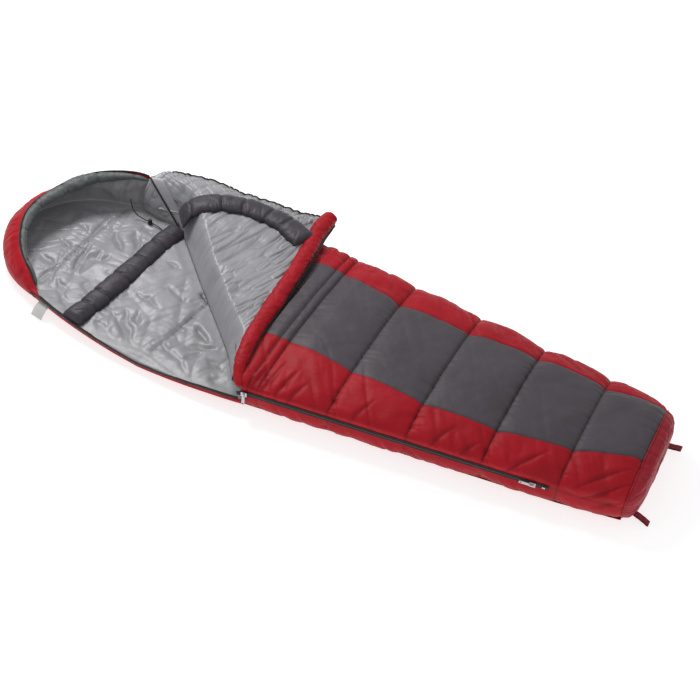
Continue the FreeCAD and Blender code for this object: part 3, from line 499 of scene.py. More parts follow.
def tube_relief(station, part, arc):
    """Outward relief of the quilted tube, and painted shade for its seams, gathers and creases."""
    station, part = np.broadcast_arrays(station, part)
    channel = np.searchsorted(QUILT_LINES, station)
    seam = np.min([np.abs(station - line) for line in QUILT_LINES], axis=0)
    loft = pillow(station, (0.92,) + QUILT_LINES, 2.6)
    over = smooth(part, 0.95, 1.5) * (1 - smooth(part, 3.6, 4.3))
    loft = loft * np.interp(station, [0.95, 1.03, 1.09], [0.45, 0.5, 1.0])
    lift = (0.010 * over + 0.006) * loft - 0.008 * over
    # dark is painted shade: it darkens the stitched valleys, gathers, pulls, panel seams and folds below
    dark = 0.85 * near_line(seam, 0.0035) * (0.5 + 0.5 * over)
    # gathers that run away from each stitched line
    gather = valleys(arc / 0.022 + 7.3 * channel, station / 0.16, 11)
    reach = np.exp(-seam / 0.028)
    lift = lift - 0.0030 * gather * reach
    dark = dark + 0.16 * gather * reach
    # soft dents and diagonal pulls, strongest on the red sides
    sides = 1 - smooth(part, 1.85, 2.15) * (1 - smooth(part, 2.85, 3.15))
    slant = station + 0.55 * arc
    pull = valleys(slant / 0.050, arc / 0.16 + station / 0.5, 23, 2.2) * (0.25 + 0.75 * sides)
    lift = lift + 0.0030 * billow(station / 0.11, arc / 0.11, 31) - 0.0042 * pull
    dark = dark + 0.10 * pull * sides
    fine = valleys(slant / 0.021, arc / 0.07, 41, 2.4)
    lift = lift - 0.0014 * fine * (0.3 + 0.7 * sides)
    # panel seams
    for line in (2.0, 3.0):
        lift = lift - 0.0022 * near_line(part - line, 0.018)
        dark = dark + 0.35 * near_line(part - line, 0.010)
    # creases drawn by the turned-back corner, then by the foot's seam
    for start, end, depth in (
        ((1.012, 0.085), (1.022, 0.215), 0.007), ((1.043, 0.100), (1.060, 0.235), 0.006),
        ((1.078, 0.092), (1.108, 0.215), 0.007), ((1.118, 0.100), (1.150, 0.180), 0.005),
        ((1.945, 0.120), (2.070, 0.215), 0.005), ((1.965, 0.085), (2.082, 0.170), 0.006),
        ((2.010, 0.070), (2.085, 0.120), 0.005), ((1.745, 0.095), (1.845, 0.200), 0.005),
        ((1.530, 0.100), (1.585, 0.190), 0.004), ((1.300, 0.095), (1.345, 0.190), 0.004),
        ((1.620, 0.110), (1.665, 0.165), 0.004),
    ):
        fold = crease_between(station, arc, start, end, 0.0085) * (part < 2.1)
        lift = lift - depth * fold
        dark = dark + 0.42 * fold
    # flat beside the zipper, and a seam from its end to the foot
    on_zip = near_line((part - ZIP_PART) / 0.17, 1.0) * smooth(station, 0.97, 1.0)
    closed = 1 - smooth(station, 1.86, 1.90)
    lift = lift * (1 - on_zip * (0.55 + 0.45 * closed)) - 0.0012 * on_zip * closed
    dark = dark + 0.5 * near_line(part - ZIP_PART, 0.02) * (1 - closed)
    # the tube meets the foot's seam and the ground without standing off
    lift = lift * smooth(np.minimum(part, 5 - part), 0.0, 0.35)
    lift = lift - 0.004 * near_line(station - LENGTH, 0.012)
    return lift, dark


COARSE = np.linspace(0.33, LENGTH, 90)
WHOLE = np.linspace(0, 5, 201)
RUNS_ROUND = arc_lengths(tube_section(COARSE[:, None], WHOLE[None, :]))


def run_round(stations, parts):
    """Distance round the section from the near ground."""
    row = np.clip((stations - COARSE[0]) / (COARSE[1] - COARSE[0]), 0, len(COARSE) - 1.001)
    column = np.clip(parts / WHOLE[1], 0, len(WHOLE) - 1.001)
    i, j = row.astype(int), column.astype(int)
    r, c = row - i, column - j
    table = RUNS_ROUND
    return ((table[i, j] * (1 - c) + table[i, j + 1] * c) * (1 - r)
            + (table[i + 1, j] * (1 - c) + table[i + 1, j + 1] * c) * r)


def tube_grid(stations, parts):
    """Quilted surface of the tube at stations and parts, and the painted shade of its creases."""
    stations, parts = np.asarray(stations), np.asarray(parts)
    if stations.ndim == 1:
        stations = stations[:, None]
    if parts.ndim == 1:
        parts = parts[None, :]
    stations, parts = (np.array(v) for v in np.broadcast_arrays(stations, parts))
    grid = tube_section(stations, parts)
    lift, dark = tube_relief(stations, parts, run_round(stations, parts))
    along = tube_section(stations + 0.002, parts) - tube_section(stations - 0.002, parts)
    low, high = np.clip(parts - 0.02, 0, 5), np.clip(parts + 0.02, 0, 5)
    across = tube_section(stations, high) - tube_section(stations, low)
    normal = np.cross(across, along)
    normal = normal / np.maximum(np.linalg.norm(normal, axis=2, keepdims=True), 1e-9)
    outward = np.sign(np.sum(normal * (grid - np.array([0, 0, 0.06])) * [0, 1, 1], axis=2))
    normal = normal * np.where(outward == 0, 1, outward)[..., None]
    moved = grid + normal * lift[..., None]
    moved[..., 2] = np.maximum(moved[..., 2], 0.0004)
    return moved, dark


def make_leg_tube():
    stations = np.arange(0.950, LENGTH + 0.001, STEP)
    pieces = (
        ("leg_side_lower", np.linspace(0, ZIP_PART, 22), RED, "shell_red",
         ("lower_side_shell", "lower_side_insulation")),
        ("leg_panel_near", np.linspace(ZIP_PART, 2, 52), RED, "shell_red", ("top_side_panel_near",)),
        ("leg_panel_centre", np.linspace(2, 3, 84), CHARCOAL, "panel_charcoal",
         ("top_centre_panel", "top_insulation")),
        ("leg_panel_far", np.linspace(3, 5, 60), RED, "shell_red", ("top_side_panel_far",)),
    )
    for name, parts, material, slot, nodes in pieces:
        mouth = 0.950 + 0.036 * (1 - smooth(parts, 1.02, 1.5))
        share = np.linspace(0, 1, len(stations))[:, None]
        grid, dark = tube_grid(mouth[None, :] + (LENGTH - mouth[None, :]) * share, parts)
        build(name, [grid], material, "bag", nodes, [dark])


def make_leg_lining():
    """Lining inside the closed part, open towards the mouth."""
    stations = np.arange(0.962, 2.078, 0.02)[:, None]
    parts = np.linspace(0.35, 4.65, 90)[None, :]
    grid = tube_section(stations, parts)
    middle = np.array([0, 0, 0.088])
    width = half_width(stations)[..., None]
    scale_y = (width - QUILT - 0.003) / width
    top = grid[..., 2:3]
    grid = np.concatenate([
        grid[..., :1], grid[..., 1:2] * scale_y,
        np.where(top > middle[2], np.maximum(top - QUILT - 0.002, 0.07), np.maximum(top, BASE))], -1)
    wrinkle = 0.003 * billow(stations / 0.06, parts * 5, 55)
    grid[..., 2] += np.where(grid[..., 2] > 0.06, wrinkle, 0)
    back = grid[-1]
    share = np.linspace(0, 1, 10)[:, None, None]
    centre = np.array([back[0, 0], 0.0, 0.09])
    end = centre + (back[None] - centre) * (1 - share)
    build("leg_lining", [grid, end], SILVER, "bag",
          ("top_lining", "lower_side_lining", "foot_lining"))


def make_foot():
    """Rounded end panel, gathered into the seam round it."""
    parts = np.linspace(0, 5, 220)
    rim = tube_grid(np.array([LENGTH - STEP, LENGTH]), parts)[0][1]
    ground = np.linspace(rim[-1], rim[0], 60)[1:]
    ring = np.concatenate([rim, ground])
    turn = np.linspace(0, np.pi / 2, 34)[:, None]
    shrink = np.cos(turn) ** 0.36
    centre = np.array([0, 0.0, 0.086])
    spread = (ring - centre) * [0, 1, 1]
    grid = centre + spread[None] * shrink[..., None]
    around = np.linspace(0, 1, len(ring))[None, :]
    pulled = valleys(around * 60, turn * 1.5, 61) * np.sin(2 * turn) ** 0.5 * (turn < 1.3)
    bulge = 0.040 * np.sin(turn)
    grid[..., 0] = at_x(LENGTH) + bulge - 0.003 * pulled + 0.002 * billow(around * 14, turn * 3, 63)
    grid[0] = ring
    grid[..., 2] = np.maximum(grid[..., 2], 0.0006)
    # painted shade in the pulled gathers and along the rim seam
    dark = 0.25 * pulled + 0.6 * near_line(turn, 0.10) + 0 * around
    build("foot_panel", [grid], FOOT_RED, "bag", ("foot_end_panel", "foot_insulation"),
          [dark])
    seam = np.concatenate([rim, rim[-1:]])
    path = seam[:-1] + [0.0015, 0, 0]
    across = np.tile([1.0, 0, 0], (len(path), 1))
    out = path - [path[0, 0], 0, 0.086]
    out = out / np.linalg.norm(out, axis=1, keepdims=True)
    piping = tube_round(path + out * 0.001, across, out, np.full(len(path), 0.0022),
                        np.full(len(path), 0.0022), 8)
    build("foot_seam_piping", [piping], FOOT_RED, "bag", ())


# ---------------------------------------------------------------- fold of the open corner
FOLD_NEAR = np.array([at_x(0.968), -0.345])
FOLD_FAR = np.array([at_x(0.345), float(half_width(0.345)) - 0.002])
FOLD_LENGTH = float(np.linalg.norm(FOLD_FAR - FOLD_NEAR))
FOLD_ALONG = (FOLD_FAR - FOLD_NEAR) / FOLD_LENGTH
FOLD_ACROSS = np.array([FOLD_ALONG[1], -FOLD_ALONG[0]])


def fold_side(station):
    """Side offset of the fold line at a station."""
    share = (at_x(station) - FOLD_NEAR[0]) / (FOLD_FAR[0] - FOLD_NEAR[0])
    return FOLD_NEAR[1] + share * (FOLD_FAR[1] - FOLD_NEAR[1])


def fold_cover(station, share):
    """Sideways distance from the fold line to a share of the rolled lining's slope."""
    u = np.clip((MOUTH - 0.017 - station) / (FOLD_NEAR[0] - FOLD_FAR[0]), 0, 1)
    return 1.255 * (fold_start(u)[0] + share * fold_slope(u)) + 0.004


def make_shoulder():
    """Quilt that stays down beside the opening, its far wall and its lining."""
    stations = np.arange(0.352, 0.956, STEP)
    lines = (0.352, 0.60, 0.80, 1.0)
    first = np.interp(stations, [0.352, 0.42, 0.55], [4.0, 3.9, 3.0])[:, None]
    wall, wall_dark = tube_grid(stations, first + (5 - first) * np.linspace(0, 1, 60)[None, :])
    puff = 0.004 * pillow(stations, lines)[:, None]
    wall[..., 1] += puff
    seam = np.min([np.abs(stations - line) for line in lines], axis=0)[:, None]
    # painted shade along the quilt's stitched valleys
    wall_dark = wall_dark + 0.7 * near_line(seam, 0.004)
    build("shoulder_far_wall", [wall], RED, "bag", ("shoulder_wall_shell", "shoulder_wall_insulation"),
          [wall_dark])

    rows = []
    for station, edge in zip(stations, wall[:, 0]):
        start = min(fold_side(station) + fold_cover(station, 0.74), edge[1] - 0.004)
        across = np.linspace(0, 1, 70)
        y = start + (edge[1] - start) * across
        z = np.interp(y, [-0.34, -0.15, edge[1]], [QUILT_TOP - 0.012, edge[2], edge[2]])
        rows.append(np.stack([np.full_like(y, at_x(station)), y, z], -1))
    top = np.array(rows)
    top[..., 2] -= 0.005 * near_line(seam, 0.006)
    top[..., 2] = np.minimum(top[..., 2], QUILT_TOP + 0.030 * smooth(stations, 0.90, 0.955)[:, None])
    # painted shade along the quilt's stitched valleys
    build("shoulder_quilt", [top], CHARCOAL, "bag",
          ("shoulder_quilt_shell", "shoulder_quilt_insulation"),
          [0.7 * near_line(seam, 0.004) + 0 * top[..., 0]])

    rows = []
    for station in np.arange(0.36, 0.985, 0.015):
        inner = half_width(station) - QUILT - 0.003
        start = min(fold_side(station) + fold_cover(station, 0.45), inner - 0.03)
        y = np.concatenate([np.linspace(start, inner - 0.02, 40),
                            inner - 0.02 + 0.02 * np.sin(np.linspace(0, np.pi / 2, 8)),
                            np.full(10, inner)])
        z = np.concatenate([np.full(40, CAVITY - 0.001),
                            CAVITY - 0.001 - 0.015 * (1 - np.cos(np.linspace(0, np.pi / 2, 8))),
                            np.linspace(CAVITY - 0.018, BASE, 10)])
        rows.append(np.stack([np.full_like(y, at_x(station)), y, z], -1))
    under = np.array(rows)
    build("shoulder_lining", [under], SILVER, "bag",
          ("shoulder_quilt_lining", "shoulder_wall_lining"))


# ---------------------------------------------------------------- base and hood
CURL, RISE_FULL, RISE_NEAR = 0.070, 0.100, 0.046
NEAR_RUN, FAR_RUN = -0.330, 0.425
LIP_END = math.radians(78)


def run_at(station, side):
    """Run along the edge at which it reaches a station."""
    runs = np.linspace(0, 1.25, 2001)
    stations = edge_frame(runs)[0][:, 0] + LENGTH / 2
    return side * float(np.interp(station, stations, runs))


def eased(value, places, heights, reach=0.05):
    """Interpolation with its corners rounded off."""
    return np.mean([np.interp(value + shift * reach, places, heights)
                    for shift in np.linspace(-1, 1, 9)], axis=0)


def lip_rise(run):
    """Height of the turned-up lip, falling away past its ends."""
    rise = eased(run, [NEAR_RUN, -0.12, 0.14, 0.24, 0.32, 0.42, 0.46, 0.52],
                 [RISE_NEAR, 0.098, 0.104, 0.110, 0.114, 0.122, 0.118, 0.085])
    return rise * smooth(run, NEAR_RUN - 0.10, NEAR_RUN + 0.02) * (1 - smooth(run, 0.57, 0.62))


def lip_curl(run):
    """How far the lip leans in over the opening: much round the head, little beside it."""
    lean = eased(run, [-0.2, 0.10, 0.22, 0.32, 0.40, 0.46], [1.0, 0.95, 0.45, -0.10, -0.25, -0.20])
    return CURL * lean * np.clip(lip_rise(run) / RISE_FULL, 0, 1) ** 0.7


def rim_level(run):
    """How far the base's thin edge stands off the ground."""
    station = edge_frame(run)[0][..., 0] + LENGTH / 2
    lifted = np.interp(station, [0, 0.2, 0.26, 0.38, 0.65, 0.88, 0.97, 0.985],
                       [0.020, 0.030, 0.034, 0.026, 0.012, 0.028, 0.032, 0.034])
    return np.where(np.asarray(run) < 0, lifted, 0.024)


def lip_point(run, angle, inset):
    """Point of the lip's curl: inset 0 outside, more inside."""
    run, angle = np.broadcast_arrays(run, angle)
    edge, inward = edge_frame(run)
    rise = lip_rise(run)
    curl = lip_curl(run)
    thick = np.minimum(inset, 0.55 * rise)
    lean = np.where(curl > 0, np.maximum(curl - thick, 0), curl)
    reach = inset * np.clip(rise / 0.03, 0, 1) + lean * (1 - np.cos(angle))
    level = rim_level(run) + 0.012
    level = level + (0.036 - level) * np.clip(rise / 0.06, 0, 1)
    lift = (rise - thick) * np.sin(angle)
    return edge + inward * reach[..., None] + np.stack([0 * reach, 0 * reach, level + lift], -1)


def make_base_shell():
    """Red shell under the base and up the outside of the hood."""
    runs = np.linspace(run_at(0.985, -1), run_at(0.372, 1), 330)[:, None]
    under = np.linspace(0, 1, 14)[None, :]
    edge, inward = edge_frame(runs + 0 * under)
    low = rim_level(runs + 0 * under)
    reach = 0.070 * (1 - under) ** 1.4
    rise = low * under ** 2.2
    skirt = edge + inward * reach[..., None]
    skirt[..., 2] = 0.0006 + rise
    angle = np.linspace(0, LIP_END, 26)[None, :]
    lip = lip_point(runs, angle, 0.0)
    outer = np.concatenate([skirt, lip], axis=1)
    normal = facing(outer, outer - np.array([at_x(HEAD), 0, 0.06]))
    column = np.linspace(0, 1, outer.shape[1])[None, :]
    height = np.clip(outer[..., 2] / 0.13, 0, 1)
    dents = valleys(runs / 0.030 + 0.8 * column, column * 1.6, 81) * np.clip(height * 3, 0, 1)
    lift = 0.0030 * billow(runs / 0.09, column * 3, 83) - 0.0022 * dents
    lift = lift + 0.008 * np.sin(np.pi * np.clip(height, 0, 1)) * smooth(runs, NEAR_RUN, -0.1)
    lift = np.maximum(lift, -0.0005)
    outer = outer + normal * (lift * smooth(column, 0.25, 0.5) * (column < 0.985))[..., None]
    outer[..., 2] = np.maximum(outer[..., 2], 0.0004)
    outer[..., 0] = np.maximum(outer[..., 0], -1.052)
    # painted shade in the dents and along the lip's top under the face tube
    dark = 0.22 * dents + 0.35 * near_line(column - 1, 0.03)
    stations = np.linspace(0.0, LENGTH, 120)[:, None]
    across = np.linspace(-1, 1, 30)[None, :]
    floor = np.stack([at_x(stations) + 0 * across,
                      (half_width(stations) * 0.97 - 0.02).clip(0.001) * across,
                      0.0006 + 0.0004 * (1 + billow(stations * 9, across * 2, 85) / 2) + 0 * across], -1)
    build("base_shell", [outer, floor], RED, "bag",
          ("bottom_shell", "bottom_insulation", "hood_shell", "hood_insulation"),
          [dark, 0 * floor[..., 0]])


def streaks(x, y, angle, width, length, seed, sharp=2.4):
    """Creases that run along a direction, given in degrees from the bag's length."""
    c, s = math.cos(math.radians(angle)), math.sin(math.radians(angle))
    along, across = x * c + y * s, y * c - x * s
    wander = 0.6 * noise(along / (1.6 * length), across / (4 * width), seed + 5)
    return valleys(across / width + wander, along / length, seed, sharp)


def folds(x, y, listed, width):
    """Sum of single folds, each with its own start, end and depth."""
    total = np.zeros(np.broadcast(x, y).shape)
    wander = 0.008 * noise(x / 0.03, y / 0.03, 401), 0.008 * noise(x / 0.03, y / 0.03, 403)
    for start, end, depth in listed:
        total = total + depth * crease_between(x + wander[0], y + wander[1], start, end, width)
    return total


HOOD_FOLDS = (
    ((0.188, 0.304), (0.252, 0.260), 0.8), ((0.186, 0.200), (0.227, 0.160), 0.8),
    ((0.218, 0.164), (0.228, 0.069), 0.9), ((0.285, 0.116), (0.355, 0.041), 1.1),
    ((0.240, 0.252), (0.253, 0.167), 0.8), ((0.246, 0.022), (0.272, -0.110), 1.2),
    ((0.290, 0.007), (0.291, -0.106), 1.2), ((0.322, 0.000), (0.303, -0.050), 0.8),
    ((0.060, 0.055), (0.120, 0.040), 0.6), ((0.150, -0.105), (0.212, -0.121), 0.7),
    ((0.255, -0.170), (0.305, -0.236), 1.0), ((0.310, -0.226), (0.346, -0.262), 1.0),
    ((0.266, 0.295), (0.378, 0.248), 0.7), ((0.215, -0.148), (0.221, -0.210), 0.7),
    ((0.110, 0.180), (0.195, 0.178), 0.7), ((0.330, 0.150), (0.380, 0.080), 0.9),
    ((0.160, 0.090), (0.205, 0.075), 0.6), ((0.150, 0.000), (0.200, -0.020), 0.6),
    ((0.345, 0.200), (0.385, 0.165), 0.8), ((0.335, -0.120), (0.365, -0.180), 0.8),
)
BASE_FOLDS = (
    ((0.490, -0.100), (0.586, -0.134), 0.8), ((0.497, -0.190), (0.583, -0.300), 1.0),
    ((0.535, -0.175), (0.566, -0.227), 0.8), ((0.484, -0.215), (0.620, -0.335), 0.9),
    ((0.495, 0.070), (0.551, 0.067), 0.6), ((0.760, -0.285), (0.790, -0.236), 1.2),
    ((0.735, -0.234), (0.815, -0.200), 1.2), ((0.822, -0.248), (0.879, -0.271), 1.2),
    ((0.717, -0.133), (0.786, -0.185), 1.2), ((0.660, -0.245), (0.795, -0.325), 0.7),
    ((0.860, -0.300), (0.885, -0.335), 0.8),
    ((0.455, -0.270), (0.500, -0.305), 0.7), ((0.570, -0.020), (0.640, -0.060), 0.6),
)


def seam_of(x, y, points):
    """Distance to a seam and the run along it."""
    best, run_best, run = np.full(np.broadcast(x, y).shape, 9.0), 0.0, 0.0
    for (ax, ay), (bx, by) in zip(points, points[1:]):
        length = math.hypot(bx - ax, by - ay)
        share = np.clip(((x - ax) * (bx - ax) + (y - ay) * (by - ay)) / length**2, 0, 1)
        away = np.hypot(x - ax - share * (bx - ax), y - ay - share * (by - ay))
        run_best = np.where(away < best, run + share * length, run_best)
        best = np.minimum(away, best)
        run += length
    return best, run_best


def floor_relief(x, y):
    """Height of the base lining above its level, and painted shade for its creases, seams and gathers."""
    hood = 1 - smooth(x, 0.385, 0.425)
    lift = 0.0045 * billow(x / 0.12, y / 0.12, 71)
    big = folds(x, y, HOOD_FOLDS, 0.014) * hood + folds(x, y, BASE_FOLDS, 0.012) * (1 - hood)
    # dark is painted shade in the folds, seams and gathers
    lift, dark = lift - 0.0105 * big, 0.32 * big
    seam, run = seam_of(x, y, ((0.211, -0.200), (0.226, -0.080), (0.232, 0.102), (0.261, 0.330)))
    ticks = valleys(run / 0.010, seam / 0.05, 91, 2.0)
    lift = lift - 0.0060 * near_line(seam, 0.008) - 0.0040 * ticks * np.exp(-seam / 0.030)
    dark = dark + 0.30 * near_line(seam, 0.004) + 0.34 * ticks * np.exp(-seam / 0.018)
    seam, run = seam_of(x, y, ((0.662, -0.004), (0.698, -0.028), (0.677, -0.201), (0.660, -0.325)))
    strong = 1 - smooth(run, 0.14, 0.30)
    ticks = valleys(run / 0.012, seam / 0.05, 95, 2.0)
    lift = lift - 0.0060 * near_line(seam, 0.008) - 0.0045 * ticks * np.exp(-seam / 0.022)
    dark = dark + (0.25 + 0.4 * strong) * near_line(seam, 0.004)
    dark = dark + (0.2 + 0.55 * strong) * ticks * np.exp(-seam / 0.016) * (x < 0.72)
    fine = streaks(x, y, 62, 0.026, 0.16, 101) * (1 - hood) + streaks(x, y, 35, 0.030, 0.11, 107) * hood
    soft = streaks(x, y, 110, 0.060, 0.20, 113, 2.0)
    lift = lift - 0.0026 * fine - 0.0040 * soft
    dark = dark + 0.10 * fine + 0.06 * soft
    # gathered into the collar
    for line in (0.376, 0.450):
        ticks = valleys(y / 0.013, x / 0.2, 117)
        lift = lift - 0.0030 * ticks * np.exp(-np.abs(x - line) / 0.02)
        dark = dark + 0.22 * ticks * np.exp(-np.abs(x - line) / 0.012)
    return lift, dark


def cord_clear(x, y):
    """0 where the drawcord lies on the lining, 1 away from it."""
    return 1 - near_line(y - 0.213, 0.022) * smooth(x, 0.26, 0.29) * (1 - smooth(x, 0.40, 0.43))


def make_base_lining():
    """Lining from the rim of the hood down its inside and over the base."""
    runs = np.linspace(run_at(0.9835, -1), run_at(0.9835, 1), 520)[:, None]
    angle = np.linspace(LIP_END, 0, 22)[None, :]
    lip = lip_point(runs, angle, 0.006)
    flat = smooth(lip_rise(runs), 0.0, 0.02)
    foot = lip[:, -1:]
    station = edge_frame(runs[:, 0])[0][:, 0] + LENGTH / 2
    spine = np.stack([at_x(np.maximum(station, HEAD)), 0 * station, 0 * station], -1)[:, None]
    share = np.linspace(0, 1, 66)[None, 1:, None]
    floor = foot + (spine - foot) * share
    reach = np.linalg.norm((floor - foot)[..., :2], axis=2)
    x, y = floor[..., 0] + LENGTH / 2, floor[..., 1]
    lift, dark = floor_relief(x, y)
    settle = smooth(reach, 0.0, 0.055)
    level = foot[..., 2] + (0.0415 - foot[..., 2]) * smooth(reach, 0.0, 0.075)
    free = cord_clear(x, y)
    level = level * free + (1 - free) * 0.0375
    fold = (x - FOLD_NEAR[0] - LENGTH / 2) * FOLD_ACROSS[0] + (y - FOLD_NEAR[1]) * FOLD_ACROSS[1]
    ceiling = 0.054 - 0.0135 * smooth(fold, -0.060, 0.012)
    floor[..., 2] = np.clip(level + lift * settle * free, 0.0345, ceiling)
    floor[..., 2] = np.where(reach < 0.06, np.minimum(floor[..., 2], level + 0.004), floor[..., 2])
    normal = facing(lip, np.array([at_x(HEAD), 0, 0.10]) - lip)
    column = np.linspace(0, 1, lip.shape[1])[None, :]
    pull = valleys(runs / 0.024 + 0.5 * column, column * 1.2, 121)
    folded = streaks(runs + 0 * column, 0.12 * column + 0 * runs, 62, 0.034, 0.14, 127, 2.0)
    folded = folded + streaks(runs + 0 * column, 0.12 * column + 0 * runs, 118, 0.045, 0.12, 129, 2.2)
    swell = 0.006 + 0.007 * billow(runs / 0.07, column * 2, 123) - 0.004 * pull - 0.008 * folded
    lip = lip + normal * (np.maximum(swell, 0.0) * flat * np.sin(np.pi * column) ** 0.5)[..., None]
    # painted shade in the lip's folds and a dark band under the face tube
    lip_dark = (0.14 * pull + 0.20 * folded) * np.sin(np.pi * column) ** 0.5
    lip_dark = (lip_dark + 0.45 * near_line(column, 0.05)) * flat
    grid = np.concatenate([lip, floor], axis=1)
    shade = np.concatenate([lip_dark, dark * settle], axis=1)
    build("base_lining", [grid], SILVER, "bag", ("bottom_lining", "hood_lining"),
          [shade])


def tube_frame(path):
    """Sideways and upward directions along a path."""
    along = np.gradient(path, axis=0)
    along = along / np.linalg.norm(along, axis=1, keepdims=True)
    side = np.cross(along, [0, 0, 1.0])
    side = side / np.maximum(np.linalg.norm(side, axis=1, keepdims=True), 1e-6)
    up = np.cross(side, along)
    return side, up


def puffy_tube(path, wide, high, seams, seed, ring=28, pucker=0.012, ends=0.03):
    """Stuffed tube along a path: swells between seams, puckered along its length."""
    count = len(path)
    run = runs_along(path)
    side, up = tube_frame(path)
    turn = np.linspace(0, 2 * np.pi, ring + 1)[None, :]
    full = np.sqrt(np.clip(1 - (1 - np.clip(np.minimum(run, run[-1] - run) / ends, 0, 1)) ** 2, 0, 1))
    seam = np.min([np.abs(run - s) for s in seams], axis=0) if len(seams) else np.full(count, 9.0)
    tight = 1 - 0.16 * near_line(seam, 0.007)
    r = run[:, None]
    creases = valleys(r / pucker + 0.9 * np.sin(turn), np.cos(turn) * 1.3 + r / 0.3, seed)
    size = 1 + 0.07 * billow(r / 0.06, np.sin(turn), seed + 3) - 0.09 * creases
    size = size * (tight * np.maximum(full, 0.02))[:, None]
    wide, high = np.broadcast_to(wide, count), np.broadcast_to(high, count)
    ring_points = (side[:, None, :] * (np.cos(turn) * size * wide[:, None])[..., None]
                   + up[:, None, :] * (np.sin(turn) * size * high[:, None])[..., None])
    # painted shade in the puckers and at the seams
    dark = 0.28 * creases + 0.55 * near_line(seam, 0.004)[:, None]
    return path[:, None, :] + ring_points, dark


def make_face_tube():
    """Charcoal band round the hood's opening."""
    runs = np.linspace(NEAR_RUN - 0.045, FAR_RUN + 0.030, 260)
    angle = np.full_like(runs, LIP_END)
    outer, inner = lip_point(runs, angle, 0.0), lip_point(runs, angle, 0.012)
    inward = edge_frame(runs)[1]
    middle = 0.5 * (outer + inner)
    wide = np.interp(runs, [NEAR_RUN - 0.045, -0.20, 0.05, 0.22, 0.33, FAR_RUN + 0.030],
                     [0.007, 0.012, 0.019, 0.026, 0.018, 0.006])
    path = middle + inward * (0.6 * wide)[:, None] - np.array([0, 0, 0.003])
    run = runs_along(path)
    seams = np.arange(0.09, run[-1], 0.118)
    grid, dark = puffy_tube(path, wide, 0.80 * wide, seams, 131, pucker=0.016)
    build("face_tube", [grid], BAND, "bag", ("hood_face_tube",), [dark])
    edge_path = outer + np.array([0, 0, 0.001])
    grid, dark = puffy_tube(edge_path, 0.0030, 0.0030, (), 137, ring=8, ends=0.004)
    build("hood_edge_piping", [grid], BLACK, "bag", ())


def collar(name, points, width, height, body, nodes, seed, seams):
    """Half-round draft collar with puckered edges."""
    path, length = smooth_path(points, 190)
    run = np.linspace(0, length, len(path))
    side, _ = tube_frame(path)
    across = np.linspace(-1, 1, 44)[None, :]
    r = run[:, None]
    ends = np.sqrt(np.clip(1 - (1 - np.clip(np.minimum(run, length - run) / 0.02, 0, 1)) ** 2, 0, 1))
    seam = np.min([np.abs(run - s * length) for s in seams], axis=0)[:, None]
    edge = 1 + 0.045 * noise(r / 0.011, across * 0.7 + 5, seed) + 0.04 * noise(r / 0.04, across + 9, seed + 1)
    edge = edge - 0.07 * near_line(seam, 0.008)
    wide = 0.5 * width * edge
    dome = np.clip(1 - np.abs(across) ** 2.3, 0, 1) ** 0.5
    pucker = valleys(r / 0.011, across * 0.8 + r / 0.4, seed + 7) * smooth(np.abs(across), 0.25, 0.9)
    soft = streaks(r + 0 * across, across * 0.03 + 0 * r, 50, 0.022, 0.08, seed + 11)
    lift = height * dome * (1 - 0.20 * near_line(seam, 0.006)) * np.maximum(ends, 0.05)[:, None]
    lift = lift + (0.0016 * billow(r / 0.04, across, seed + 13) - 0.0026 * pucker - 0.0022 * soft) * dome
    grid = path[:, None, :] + side[:, None, :] * (across * wide)[..., None]
    grid[..., 2] += np.maximum(lift, 0)
    low = grid.copy()
    low[..., 2] = path[:, None, 2] - 0.004
    # painted shade in the puckers, at the seams and along the edges where the collar meets the lining
    dark = 0.30 * pucker + 0.14 * soft + 0.6 * near_line(seam, 0.0035)
    dark = dark + 0.5 * smooth(np.abs(across), 0.86, 1.0)
    return build(name, [grid, low[:, ::-1]], COLLAR, body, nodes,
                 [dark, 0 * dark])


def make_collars():
    near = -float(half_width(0.41)) + 0.008
    points = [(at_x(0.392), near, 0.0385), (at_x(0.400), -0.250, 0.0385), (at_x(0.412), -0.150, 0.0385),
              (at_x(0.424), 0.000, 0.0385), (at_x(0.432), 0.120, 0.0385), (at_x(0.446), 0.232, 0.0385)]
    collar("neck_collar_puff", points, 0.074, 0.028, "bag", ("neck_collar",), 141,
           (0.14, 0.26, 0.44, 0.63, 0.80))
    level = FLAP_TOP - 0.003
    points = [(at_x(0.456), 0.222, level - 0.052), (at_x(0.478), 0.240, level - 0.014),
              (at_x(0.525), 0.276, level + 0.006), (at_x(0.590), 0.312, level + 0.006),
              (at_x(0.670), 0.331, level + 0.001), (at_x(0.755), 0.325, level - 0.001),
              (at_x(0.818), 0.304, level - 0.001), (at_x(0.868), 0.277, level - 0.003)]
    collar("flap_collar_puff", points, 0.084, 0.022, "flap", ("flap_collar",), 151,
           (0.10, 0.32, 0.47, 0.66, 0.80))


# ---------------------------------------------------------------- thrown-back corner
FLAP_LOW, FLAP_TOP = 0.118, 0.1493
CORNER = np.array([-0.160, 0.440])
EDGE_RUN = float(np.linalg.norm(CORNER - FOLD_NEAR))
EDGE_ALONG = (CORNER - FOLD_NEAR) / EDGE_RUN
EDGE_INWARD = np.array([-EDGE_ALONG[1], EDGE_ALONG[0]])
HEAD_EDGE = CORNER - FOLD_FAR
HEAD_LENGTH = float(np.linalg.norm(HEAD_EDGE))
HEAD_ALONG = HEAD_EDGE / HEAD_LENGTH
NOTCH = 0.875


def fold_start(u):
    """Offset from the fold line and height where the turned-back lining leaves the base."""
    notch = smooth(u, NOTCH, 1.0)
    offset = (0.026 * smooth(u, 0.0, 0.25) + 0.005 * smooth(u, 0.5, 0.85)) * (1 - notch)
    offset = offset - 0.045 * notch
    level = 0.042 + 0.114 * notch
    return offset, level


def fold_slope(u):
    """Width of the rolled lining between the base and the flap's top."""
    return np.minimum(0.052, 0.42 * u * HEAD_LENGTH)


